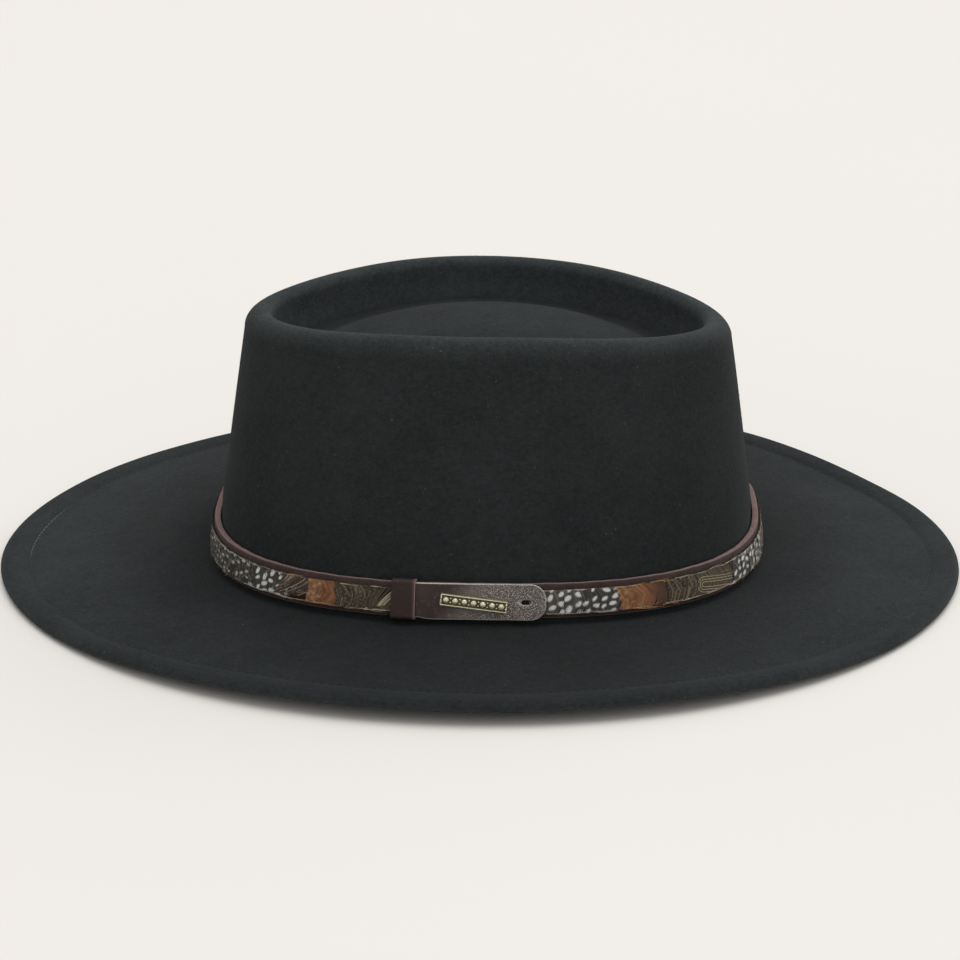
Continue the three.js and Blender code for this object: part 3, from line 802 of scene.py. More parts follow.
def felt_finish():
    """Black wool felt: cloudy dye, a short nap of crossing fibres, painted light that makes it
    paler by the piece's own value, painted shade in the groove, and a little lint."""
    f = Finish("felt")
    cloud = f.noise(34, 4, 0.6)
    nap = f.noise(0.55, 4, 0.7)
    lengthways = f.noise(0.5, 2, 0.6, f.scaled(0.14, 1, 0.6))
    crossways = f.noise(0.5, 2, 0.6, f.scaled(1, 0.16, 0.4))
    fibre = crossways * 0.5 + lengthways * 0.5
    blotch = f.noise(4.5, 4, 0.65)
    tufts = f.noise(1.7, 3, 0.6)
    lint = f.noise(0.9, 0, 0.5).between(0.79, 0.83) * f.noise(7, 2, 0.5).between(0.5, 0.62)
    groove = f.value("groove")
    shade = (cloud * 0.5 + blotch * 0.3 + tufts * 0.5 + nap * 0.65 + fibre * 0.75).between(0.95, 1.75)
    flat = f.mix(shade, FELT_DARK, FELT_LIGHT)
    # Painted light: the lighter copy of the felt, mixed in by the piece's own value.
    colour = f.mix(f.value("painted_light"), flat, f.mix(shade, LIT_FELT_DARK, LIT_FELT_LIGHT))
    colour = f.mix(lint * 0.18, colour, tint(150, 150, 146))
    # Painted shade in the groove beside the welt.
    colour = f.mix(groove * 0.05, colour, tint(12, 13, 13))
    relief = f.bump(nap * 0.6 + fibre * 0.8, 0.35, 0.7)
    relief = f.bump(blotch, 0.5, 0.25, relief)
    return f.done(
        Base_Color=colour,
        Roughness=0.97,
        Normal=relief,
        Sheen_Weight=0.04,
        Sheen_Roughness=0.5,
        Sheen_Tint=tint(205, 208, 210),
        Specular_IOR_Level=0.12,
    )


def nap_finish():
    """Loose fibres that stand up from the felt."""
    f = Finish("felt_nap")
    colour = f.mix(f.noise(2.5, 2, 0.5), tint(30, 32, 33), tint(62, 65, 66))
    return f.done(Base_Color=colour, Roughness=0.95, Specular_IOR_Level=0.2)


def fuzz_finish():
    """Loose fibres along the cut edge of the leather."""
    f = Finish("leather_fuzz")
    colour = f.mix(f.noise(2.5, 2, 0.5), tint(60, 44, 41), tint(118, 92, 86))
    return f.done(Base_Color=colour, Roughness=0.9, Specular_IOR_Level=0.2)


def thread_finish():
    """Dark thread the colour of the felt, made paler over a stretch by a painted highlight where the
    piece's own value says so.
    """
    f = Finish("thread")
    twist = f.noise(0.35, 2, 0.5)
    buried = f.mix(twist, tint(32, 35, 36), tint(60, 64, 65))
    # Painted highlight on the thread over the stretch at the front.
    colour = f.mix(f.value("stitch_highlight"), buried, f.mix(twist, tint(70, 73, 73), tint(126, 128, 127)))
    return f.done(Base_Color=colour, Roughness=0.75, Normal=f.bump(twist, 0.08), Specular_IOR_Level=0.35)


def leather(name, dark, light, raw_colour, pebble, gloss):
    """Leather: a grain of small cells with creases between, colour that clouds, painted highlights
    on the cells' tops and painted shade in the creases, scuffs, wear and a painted highlight where
    the piece's own value says so, and a paler cut edge where the piece's own value raw says so.
    pebble is how strong the grain and its painted highlights and shade are, as a number or as the
    name of a value of the piece."""
    f = Finish(name)
    pebble = f.value(pebble) if isinstance(pebble, str) else pebble
    cloud = f.noise(9, 4, 0.6)
    cells = {"Vector": f.place, "Scale": 1 / (GRAIN_SIZE * METRE)}
    grain = f.node("TexVoronoi", {"feature": "DISTANCE_TO_EDGE"}, cells).between(0.02, 0.26)
    tops = f.node("TexVoronoi", {}, cells, output=1)
    pores = f.noise(0.25, 3, 0.6)
    scuff = f.noise(2.2, 4, 0.7).between(0.56, 0.74)
    raw = f.value("raw")
    wear_and_highlight = f.value("wear_and_highlight")
    pale = tuple(0.5 * a + 0.5 * b for a, b in zip(light, raw_colour))
    colour = f.mix(cloud.between(0.3, 0.7), dark, light)
    top = f.node("RGBToBW", {}, {0: tops})
    # Painted highlight on the tops of the grain's cells.
    colour = f.mix(pebble * grain * top * 0.55, colour, pale)
    # Scuffs, and by the piece's own value wear with a painted highlight on the grain, towards the cut
    # edge's colour.
    colour = f.mix(scuff * 0.2 + wear_and_highlight * (0.6 + 0.75 * grain * pebble * top), colour, raw_colour)
    # Painted shade in the grain's creases.
    colour = f.mix((1 - grain) * 0.7 * pebble, colour, tuple(0.4 * c for c in dark))
    fibres_seen = f.noise(0.4, 3, 0.7)
    raw_mix = f.mix(fibres_seen.between(0.3, 0.75), raw_colour, tuple(min(1, 1.9 * c) for c in raw_colour))
    colour = f.mix(raw, colour, raw_mix)
    relief = f.bump(grain * pebble * 1.6 + pores * 0.35, 0.16, 0.8)
    relief = f.bump(fibres_seen * raw, 0.3, 0.7, relief)
    rough = gloss + pores * 0.18 + raw * 0.3
    return f.done(Base_Color=colour, Roughness=rough, Normal=relief, Specular_IOR_Level=0.3)


def feather_finish():
    """Feathers: the colour of each barb is its own, broken up by finer barbules. Pale lines follow
    the outline of a vane where its own value bow counts inwards from there."""
    f = Finish("feather")
    fine = f.noise(0.3, 3, 0.7)
    waver = f.noise(1.6, 2, 0.5)
    bow = f.value("bow") + waver * 0.5
    line = f.node("Math", {"operation": "PINGPONG"}, {0: bow, 1: 0.48})
    pencil = (1 - line.between(0.08, 0.22)) * bow.between(-0.3, 0) * (1 - bow.between(2.3, 2.6))
    colour = f.mix(pencil * 0.85, f.colour("dye"), tint(190, 172, 138))
    colour = f.mix(fine.between(0.35, 0.85) * 0.45, colour, tint(20, 17, 15))
    return f.done(
        Base_Color=colour,
        Roughness=0.62,
        Normal=f.bump(fine, 0.12, 0.7),
        Sheen_Weight=0.1,
        Sheen_Roughness=0.4,
        Specular_IOR_Level=0.35,
    )


def backing_finish():
    """Dark cloth-like down that shows between the barbs."""
    f = Finish("feather_down")
    streak = f.noise(0.5, 3, 0.7)
    colour = f.mix(streak, tint(24, 18, 14), tint(66, 52, 40))
    return f.done(Base_Color=colour, Roughness=0.9, Normal=f.bump(streak, 0.2), Specular_IOR_Level=0.2)


def brass_finish():
    """Old brass: rubbed bright where it stands up, brown and green in its hollows."""
    f = Finish("brass")
    wear_and_highlight = f.value("wear_and_highlight")
    stain = f.noise(1.1, 4, 0.65)
    fine = f.noise(0.22, 3, 0.6)
    bright = f.mix(stain.between(0.3, 0.7), tint(232, 223, 182), tint(252, 248, 222))
    dull = f.mix(stain.between(0.35, 0.65), tint(70, 64, 40), tint(112, 104, 70))
    high = (wear_and_highlight + fine * 0.4 - 0.2).between(0.2, 0.8)
    colour = f.mix(high, dull, bright)
    rough = 0.62 - high * 0.32 + fine * 0.1
    relief = f.bump(fine, 0.06, 0.6)
    return f.done(Base_Color=colour, Metallic=0.3 + high * 0.3, Roughness=rough, Normal=relief)


def floor_finish():
    """Pale matt backdrop paper."""
    f = Finish("paper")
    colour = f.mix(f.noise(600, 2, 0.5), tint(241, 237, 232), tint(244, 240, 235))
    return f.done(Base_Color=colour, Roughness=0.95, Specular_IOR_Level=0.1)


# Felt body and its stitches, and how fibres of nap and fuzz are made.

felt_points, felt_values, outer_rows, welt_rows = felt_surface(FELT_DIRECTIONS)
flat_points = felt_points.reshape(-1, 3)
felt_faces = skin(felt_points, columns_close=True)
piece("hat_felt", flat_points, felt_faces, felt_finish(), "felt_body", felt_values, merge=True)


def stitches(row, radius, lift):
    """Short threads with round ends laid end to end along a row of the felt: rings of radius
    r sqrt(1 - t^4) about the row's line, from t = -1 to 1, bowed up by lift (1 - t^2)."""
    loop = np.vstack([felt_points[row], felt_points[row][:1]])
    walked = np.concatenate([[0], np.cumsum(np.linalg.norm(np.diff(loop, axis=0), axis=1))])
    count = int(walked[-1] / STITCH_PITCH)
    centre = (np.arange(count) + 0.5) * walked[-1] / count
    t = np.array([-1, -0.92, -0.6, 0, 0.6, 0.92, 1])
    at = np.mod(centre[:, None] + t * STITCH_LENGTH / 2, walked[-1])
    line = np.stack([np.interp(at, walked, loop[:, k]) for k in range(3)], axis=-1)
    along = line[:, -1] - line[:, 0]
    along /= np.linalg.norm(along, axis=1, keepdims=True)
    up = np.array([0, 0, 1.0])
    sideways = np.cross(along, up)
    turn = np.arange(6) * np.pi / 3
    thick = radius * np.sqrt(np.maximum(1 - t**4, 0))
    line = line + up * (lift * (1 - t**2))[None, :, None]
    ring = (
        sideways[:, None, None, :] * np.cos(turn)[None, None, :, None]
        + up * np.sin(turn)[None, None, :, None]
    )
    points = line[:, :, None, :] + thick[None, :, None, None] * ring
    faces = repeated(grid_faces(len(t), 6, columns_close=True), count, len(t) * 6)
    return points.reshape(-1, 3), faces


thread = thread_finish()
hem = outer_rows + welt_rows - HEM_ROWS
top_stitches, top_faces = stitches(outer_rows - 1, radius=0.2, lift=0.02)
under_stitches, under_faces = stitches(hem, radius=0.27, lift=0.05)
both = np.vstack([top_stitches, under_stitches])
both_faces = outwards(both, np.vstack([top_faces, under_faces + len(top_stitches)]))
# A painted highlight on the stitches between two directions at the front of the hat.
from_front = np.degrees(np.arctan2(both[:, 1], -both[:, 0]))
stitch_highlight = smoothstep(STITCH_HIGHLIGHT_FROM, STITCH_HIGHLIGHT_FROM + STITCH_HIGHLIGHT_EASE, from_front)
stitch_highlight = stitch_highlight * (1 - smoothstep(STITCH_HIGHLIGHT_TO - STITCH_HIGHLIGHT_EASE, STITCH_HIGHLIGHT_TO, from_front))
piece("brim_stitches", both, both_faces, thread, "felt_body", {"stitch_highlight": stitch_highlight}, merge=True)


def spread_on(points, faces, count):
    """Random places on a surface, as many a square millimetre everywhere, with the face's normal."""
    a, b, c = (points[faces[:, k]] for k in range(3))
    normal = np.cross(b - a, c - a)
    area = np.linalg.norm(normal, axis=1)
    pick = rng.choice(len(faces), count, p=area / area.sum())
    u, v = rng.random((2, count, 1))
    place = a[pick] + u * (points[faces[pick, 1]] - a[pick]) + v * (points[faces[pick, 3]] - a[pick])
    return place, normal[pick] / np.maximum(area[pick, None], 1e-9)


def fibres(place, normal, length, width, stand):
    """Thin three-cornered fibres from a surface: for a rise s from 0 to stand, the tip lies at
    reach (sqrt(1 - s^2) sideways + s along the normal), in a random direction."""
    count = len(place)
    random = rng.normal(size=(count, 3))
    lying = random - normal * np.einsum("ij,ij->i", random, normal)[:, None]
    lying /= np.linalg.norm(lying, axis=1, keepdims=True)
    across = np.cross(lying, normal)
    rise = stand * rng.random((count, 1))
    reach = length * (0.4 + 0.6 * rng.random((count, 1)))
    tip = place + lying * reach * np.sqrt(1 - rise**2) + normal * reach * rise
    half = across * width / 2
    points = np.stack([place - half, place + half, tip], axis=1)
    return points.reshape(-1, 3), np.arange(count * 3).reshape(-1, 3)


# Hat band.


def strap_ring():
    """The strap: a rounded box of its height and thickness carried round the foot of the crown."""
    centre, turn = rounded_box(STRAP_HEIGHT / 2, STRAP_THICKNESS / 2, STRAP_ROUNDING, 5, 5)
    loop = centre + STRAP_ROUNDING * turn
    step = np.arange(STRAP_RINGS)[:, None]
    along = (KEEPER_START + KEEPER_END) / 2 + step * FOOT_LENGTH / STRAP_RINGS
    wave = 0.05 * np.sin(along / 3.1) + 0.04 * np.sin(along / 1.3 + 1)
    up = (STRAP_BOTTOM + STRAP_TOP) / 2 + loop[:, 0] + wave * (loop[:, 0] > 5)
    out = strap_inside(along) + STRAP_THICKNESS / 2 + loop[:, 1]
    raw = smoothstep(0.55, 0.9, np.abs(turn[:, 0])) * (np.abs(loop[:, 0]) > 5.6)
    wear_and_highlight = smoothstep(5.4, 6.2, loop[:, 0]) * (loop[:, 1] > 0)
    ones = np.ones_like(out)
    return band_point(along, up, out), {"raw": raw * ones, "wear_and_highlight": wear_and_highlight * 0.5 * ones}


strap_points, strap_values = strap_ring()
strap_faces = skin(strap_points, rows_close=True, columns_close=True)
strap_leather = leather("strap_leather", tint(42, 29, 26), tint(66, 47, 42), tint(124, 103, 99), 0.5, 0.48)
piece("strap", strap_points, strap_faces, strap_leather, "band_strap", strap_values)


def keeper_loop():
    """The keeper: a flat, slightly rounded section of its width and thickness, carried round a
    rounded box that clears the strap and the tongue."""
    half_height = STRAP_HEIGHT / 2 + GAP
    centre, turn = rounded_box(half_height, 1, 0, 9, 16)
    flat, bend = rounded_box(KEEPER_WIDTH / 2, KEEPER_THICKNESS / 2, KEEPER_ROUNDING, 5, 7)
    section = flat + KEEPER_ROUNDING * bend
    along = (KEEPER_START + KEEPER_END) / 2 + section[None, :, 0]
    inside = strap_inside(along) - GAP
    outside = strap_outside(along) + TONGUE_THICKNESS + 2 * GAP
    reach = KEEPER_INNER_RADIUS + KEEPER_THICKNESS / 2 + section[None, :, 1]
    straight = half_height - KEEPER_INNER_RADIUS
    up = np.clip(centre[:, :1], -straight, straight) + reach * turn[:, :1]
    share = (np.clip(centre[:, 1:], -1, 1) + 1) / 2
    out = lerp(inside + KEEPER_INNER_RADIUS, outside - KEEPER_INNER_RADIUS, share)
    out = out + reach * turn[:, 1:]
    # Only the right cut edge is paler: the edge's own colour, with a painted highlight where it catches the
    # light.
    ends = smoothstep(KEEPER_WIDTH / 2 - 0.4, KEEPER_WIDTH / 2 - 0.15, section[:, 0])
    ones = np.ones_like(out)
    values = {"raw": ends * 0.8 * ones, "wear_and_highlight": 0.15 * ones}
    return band_point(along, (STRAP_BOTTOM + STRAP_TOP) / 2 + up, out), values


keeper_points, keeper_values = keeper_loop()
keeper_faces = skin(keeper_points, rows_close=True, columns_close=True)
# The keeper's cut edge colour is brightened for its painted highlight.
keeper_leather = leather("keeper_leather", tint(20, 11, 9), tint(34, 20, 17), tint(150, 124, 120), 0.1, 0.5)
piece("keeper", keeper_points, keeper_faces, keeper_leather, "band_keeper", keeper_values)


def tongue_outline(count, inset):
    """The tongue's outline, walked by length from the lower left corner: along its lower edge, round
    its tip and back, drawn in from the edge by inset."""
    top = STRAP_TOP - inset
    start = TONGUE_START + inset
    radius = TONGUE_TIP_RADIUS - inset
    swing = np.radians(np.linspace(-90, 90, 41))
    spread = np.linspace(start, KEEPER_END + TONGUE_SPREAD, 20)
    overhang = TONGUE_OVERHANG * smoothstep(KEEPER_END, KEEPER_END + TONGUE_SPREAD, spread)
    lower = np.column_stack([spread, STRAP_BOTTOM + inset - overhang])
    bottom = STRAP_BOTTOM - TONGUE_OVERHANG + inset
    tip = TONGUE_TIP - TONGUE_TIP_RADIUS
    round_tip = radius * np.column_stack([np.cos(swing), np.sin(swing)])
    round_low = np.array([tip, bottom + radius]) + round_tip[:21]
    round_high = np.array([tip, top - radius]) + round_tip[20:]
    path = np.vstack([lower, round_low, round_high, [[start, top]], lower[:1]])
    walked = np.concatenate([[0], np.cumsum(np.linalg.norm(np.diff(path, axis=0), axis=1))])
    at = np.linspace(0, walked[-1], count + 1)[:-1]
    return np.column_stack([np.interp(at, walked, path[:, 0]), np.interp(at, walked, path[:, 1])])


def slit_outline(directions):
    """Where each direction from the slit's middle leaves it: a box of the slit's straight length
    with half a circle at each end."""
    radius = SLIT_WIDTH / 2
    half = (SLIT_LENGTH - SLIT_WIDTH) / 2
    c, s = np.abs(directions[:, 0]), np.abs(directions[:, 1])
    straight = radius / np.maximum(s, 1e-6)
    end = half * c + np.sqrt(np.maximum(radius**2 - (half * s) ** 2, 0))
    reach = np.where(straight * c <= half, straight, end)
    return directions * reach[:, None]


def tongue_sheet():
    """The tongue: rings from the slit out over its front, round the edge, in over its back and up
    through the slit, which makes it a closed ring of rings. The edge is rounded by sin and cos, and
    the slit's lip sinks a little."""
    middle = np.array([TONGUE_TIP - SLIT_FROM_TIP, TONGUE_MIDDLE])
    edge = tongue_outline(TONGUE_POINTS, 0)
    drawn_in = tongue_outline(TONGUE_POINTS, TONGUE_EDGE)
    away = drawn_in - middle
    slit = middle + slit_outline(away / np.linalg.norm(away, axis=1, keepdims=True))
    over_front = (np.linspace(0, 1, 30) ** 0.8)[:, None, None]
    round_edge = np.linspace(15, 165, 11)[:, None, None]
    over_back = np.linspace(1, 0, 12)[:, None, None]
    through = np.array([0.3, 0.7])[:, None, None]
    bend = np.radians(round_edge)
    off_lip = np.minimum(over_front * 30, 1)
    flat = np.concatenate(
        [
            lerp(slit, drawn_in, over_front),
            lerp(drawn_in, edge, np.sin(bend)),
            lerp(slit, drawn_in, over_back),
            slit + 0 * through,
        ]
    )
    rise = np.concatenate(
        [
            TONGUE_THICKNESS - SLIT_LIP * (1 - off_lip),
            TONGUE_THICKNESS / 2 + TONGUE_THICKNESS / 2 * np.cos(bend),
            0 * over_back,
            TONGUE_THICKNESS * through,
        ]
    )
    raw = np.concatenate(
        [
            0.8 * (1 - off_lip),
            np.where(round_edge > 30, 0.9, 0.5),
            0 * over_back,
            0.7 + 0 * through,
        ]
    )
    along, up = flat[..., 0], flat[..., 1]
    pebbled = smoothstep(-14, 5, along - 0.55 * (up - TONGUE_MIDDLE))
    # Wear, and on the pebbled part a painted highlight that makes the leather paler and greyer.
    values = {"raw": raw[..., 0] * np.ones_like(up), "pebbled": pebbled, "wear_and_highlight": 0.06 + 0.8 * pebbled}
    return band_point(along, up, rise[..., 0] + tongue_inside(along)), values


tongue_points, tongue_values = tongue_sheet()
tongue_faces = skin(tongue_points, rows_close=True, columns_close=True)
# The tongue's cut edge colour, which its painted highlight mixes in too.
tongue_pale = tint(204, 194, 186)
tongue_leather = leather("tongue_leather", tint(38, 22, 21), tint(60, 39, 37), tongue_pale, "pebbled", 0.4)
piece("tongue", tongue_points, tongue_faces, tongue_leather, "band_tongue", tongue_values)


def bar_plate():
    """The bar: rings from its back up its wall and drawn in from its outline to its spine. Its
    height is a low rim along the outline, a hollow field, beads of h sqrt(1 - d^2) in a row and
    small petals between them."""
    near_rim = [0, 0.04, 0.12, 0.25, 0.4, 0.5, 0.6, 0.72]
    inset = np.concatenate([near_rim, np.linspace(0.85, BAR_HEIGHT / 2, 13)])[:, None]
    centre, turn = rounded_box(BAR_LENGTH / 2, BAR_HEIGHT / 2, 0, 7, 110)
    half = np.array([BAR_LENGTH / 2, BAR_HEIGHT / 2])
    straight = np.clip(centre / half, -1, 1) * (half - np.maximum(inset, BAR_CORNER)[..., None])
    flat = straight + np.maximum(BAR_CORNER - inset, 0)[..., None] * turn
    spacing = (BAR_LENGTH - 4 * BEAD_RADIUS) / (BEAD_COUNT - 1)
    from_bead = np.mod(flat[..., 0] + spacing / 2, spacing) - spacing / 2
    bead = np.sqrt(np.maximum(1 - (from_bead**2 + flat[..., 1] ** 2) / BEAD_RADIUS**2, 0))
    bead = bead * (np.abs(flat[..., 0]) < spacing * (BEAD_COUNT / 2))
    between = np.abs(from_bead) - spacing / 2
    petal = np.maximum(1 - (np.abs(between) / 0.55) - (np.abs(np.abs(flat[..., 1]) - 0.75) / 0.5), 0)
    rounding = 1 - np.sqrt(1 - (1 - np.clip(inset / BAR_RIM, 0, 1)) ** 2)
    rim = BAR_THICKNESS - BAR_RIM * rounding
    field = rim - BAR_FIELD_DEPTH * smoothstep(0.5, 0.75, inset)
    height = field + (BEAD_RISE + BAR_FIELD_DEPTH) * bead + PETAL_RISE * np.minimum(petal * 2, 1)
    wear_and_highlight = smoothstep(BAR_THICKNESS - 0.25, BAR_THICKNESS + 0.1, height)
    under = np.stack([flat[-1], flat[8] * [0.995, 0.98], flat[0], flat[0]])
    ones = np.ones(len(turn))
    under_height = np.array([0, 0, 0, 0.7])[:, None] * ones
    under_worn = np.array([0, 0.9, 0.9, 0.9])[:, None] * ones
    return (
        np.concatenate([under, flat]),
        np.vstack([under_height, height]),
        np.vstack([under_worn, wear_and_highlight]),
    )


def onto_band(flat, height, along, up, out, tilt):
    """Points drawn about the origin, turned by the tilt and laid flat against the band: X along it,
    Y up, Z away from it."""
    middle = band_point(along, up, out)
    x_axis = band_point(along + 1, up, out) - band_point(along - 1, up, out)
    x_axis /= np.linalg.norm(x_axis)
    y_axis = band_point(along, up + 1, out) - middle
    z_axis = np.cross(x_axis, y_axis)
    z_axis /= np.linalg.norm(z_axis)
    y_axis = np.cross(z_axis, x_axis)
    turn = math.radians(tilt)
    x = flat[..., 0] * math.cos(turn) - flat[..., 1] * math.sin(turn)
    y = flat[..., 0] * math.sin(turn) + flat[..., 1] * math.cos(turn)
    return middle + x[..., None] * x_axis + y[..., None] * y_axis + height[..., None] * z_axis


bar_flat, bar_height, bar_worn = bar_plate()
bar_along = TONGUE_TIP - BAR_FROM_TIP
bar_out = tongue_inside(bar_along) + TONGUE_THICKNESS + BAR_STANDOFF
bar_points = onto_band(bar_flat, bar_height, bar_along, TONGUE_MIDDLE - BAR_DOWN, bar_out, -BAR_TILT)
bar_faces = skin(bar_points, columns_close=True)
piece("bar", bar_points, bar_faces, brass_finish(), "band_bar", {"wear_and_highlight": bar_worn}, merge=True)


def feather_backing():
    """The down under the feathers: a low arch carried along the band."""
    along = np.linspace(FEATHER_START, FEATHER_END, DOWN_STEPS)[:, None]
    t = np.array([-1, -1, -0.6, -0.2, 0.2, 0.6, 1, 1, 0.4, -0.4])
    rise = np.array([0, 0.25, 0.42, 0.45, 0.45, 0.42, 0.25, 0, 0, 0])
    out = strap_outside(along) + 0.1 + rise
    return band_point(along, FEATHER_MIDDLE + FEATHER_HALF * 0.985 * t, out)


down_points = feather_backing()
down_faces = skin(down_points, columns_close=True)
piece("feather_down", down_points, down_faces, backing_finish(), "feather_strip")


def scatter(a, b, c):
    """A number from 0 to 1 for three numbers: the fraction of a large sine of their mix."""
    return np.mod(np.sin(a * 12.9898 + b * 78.233 + c * 37.719) * 43758.5453, 1)


def spots(ahead, across, vane, pitch_ahead, pitch_across, half_long, half_short, missing=0):
    """Ovals in the cells of a staggered grid, each one moved, turned and sized by its own cell.
    The share of cells given by missing stays empty."""
    row = np.floor(ahead / pitch_ahead)
    shifted = across + pitch_across * (0.5 * np.mod(row, 2) + 0.37 * vane)
    column = np.floor(shifted / pitch_across)
    moved_ahead = 0.26 * (scatter(row, column, vane) - 0.5)
    moved_across = 0.26 * (scatter(column, row, vane + 7) - 0.5)
    a = ahead - (row + 0.5 + moved_ahead) * pitch_ahead
    b = shifted - (column + 0.5 + moved_across) * pitch_across
    turn = 1.5 * (scatter(row + 3, column, vane) - 0.2)
    size = 0.72 + 0.45 * scatter(row, column + 5, vane)
    long_way = (a * np.cos(turn) + b * np.sin(turn)) / (half_long * size)
    short_way = (b * np.cos(turn) - a * np.sin(turn)) / (half_short * size)
    there = scatter(row + 9, column + 2, vane + 4) >= missing
    return there * (1 - smoothstep(0.75, 1.15, np.hypot(long_way, short_way)))


def blend(first, second, share):
    """Colours mixed by a share of each point."""
    return np.asarray(first) + (np.asarray(second) - np.asarray(first)) * share[..., None]


def vane_colour(kind, ahead, across, vane, shade):
    """The colour of a place on a vane. ahead is its distance from the tip and across from the
    shaft, and shade a random number of its barb."""
    grey = blend((0.065, 0.06, 0.055), (0.2, 0.185, 0.165), shade**3)
    white = (0.95, 0.94, 0.89)
    speckled = blend(grey, white, spots(ahead, across, vane, 3.9, 3.5, 1.55, 0.92))
    spotted = blend(grey * 0.7, white, spots(ahead, across, vane, 3.5, 3.0, 1.4, 0.74, 0.1))
    drab = blend((0.026, 0.022, 0.017), (0.18, 0.16, 0.125), shade**3)
    fine = blend(drab, white, 0.75 * spots(ahead, across, vane, 2.8, 2.5, 0.95, 0.48, 0.38))
    pale_barb = smoothstep(0.72, 0.86, shade)
    swept = blend((0.05, 0.026, 0.018), (0.13, 0.08, 0.05), shade)
    swept = blend(swept, (0.5, 0.42, 0.32), 0.8 * pale_barb)
    orange = blend((0.22, 0.075, 0.024), (0.42, 0.2, 0.085), shade)
    tan = spots(ahead + 0.8, across, vane + 3, 2.3, 2.6, 0.9, 0.5)
    dark_heart = smoothstep(2.6, 0.4, np.hypot((ahead - 6) * 0.7, across - 0.6))
    russet = blend(orange, (0.6, 0.42, 0.26), 0.5 * tan * smoothstep(9, 4, ahead))
    russet = blend(russet, (0.14, 0.05, 0.02), 0.6 * dark_heart)
    # Painted shade towards the root, under the tip of the next vane.
    russet = blend(russet, (0.1, 0.05, 0.03), smoothstep(11, 18, ahead + 3 * shade))
    fleck = spots(ahead, across, vane + 11, 1.7, 1.5, 0.55, 0.3)
    mottled = blend((0.035, 0.026, 0.018), (0.17, 0.12, 0.075), shade**2)
    mottled = blend(mottled, (0.36, 0.28, 0.18), 0.35 * fleck)
    mottled = blend(mottled, (0.42, 0.35, 0.25), 0.25 * pale_barb)
    olive = blend((0.06, 0.046, 0.03), (0.14, 0.108, 0.07), shade)
    fanned = blend((0.05, 0.038, 0.024), (0.16, 0.12, 0.07), shade)
    fanned = blend(fanned, (0.66, 0.57, 0.4), 0.8 * pale_barb)
    choices = np.stack([speckled, spotted, fine, swept, russet, mottled, olive, fanned])
    return np.take_along_axis(choices, kind[None, ..., None], 0)[0]


def vane_places():
    """Where each vane's tip lies along the band, what kind it is and how long: every run is shared
    out evenly between its vanes, and each one reaches on under the next."""
    ends = [start for start, kind in FEATHER_RUNS[1:]] + [FEATHER_END]
    tips, kinds = [], []
    for (start, kind), end in zip(FEATHER_RUNS, ends):
        count = max(1, round((end - start) / FEATHERS[kind]["shows"]))
        tips.append(start + (end - start) * np.arange(count) / count)
        kinds.append(np.full(count, kind))
    tips, kinds = np.concatenate(tips), np.concatenate(kinds)
    return tips, kinds, np.diff(np.append(tips, FEATHER_END)) + FEATHER_LAP


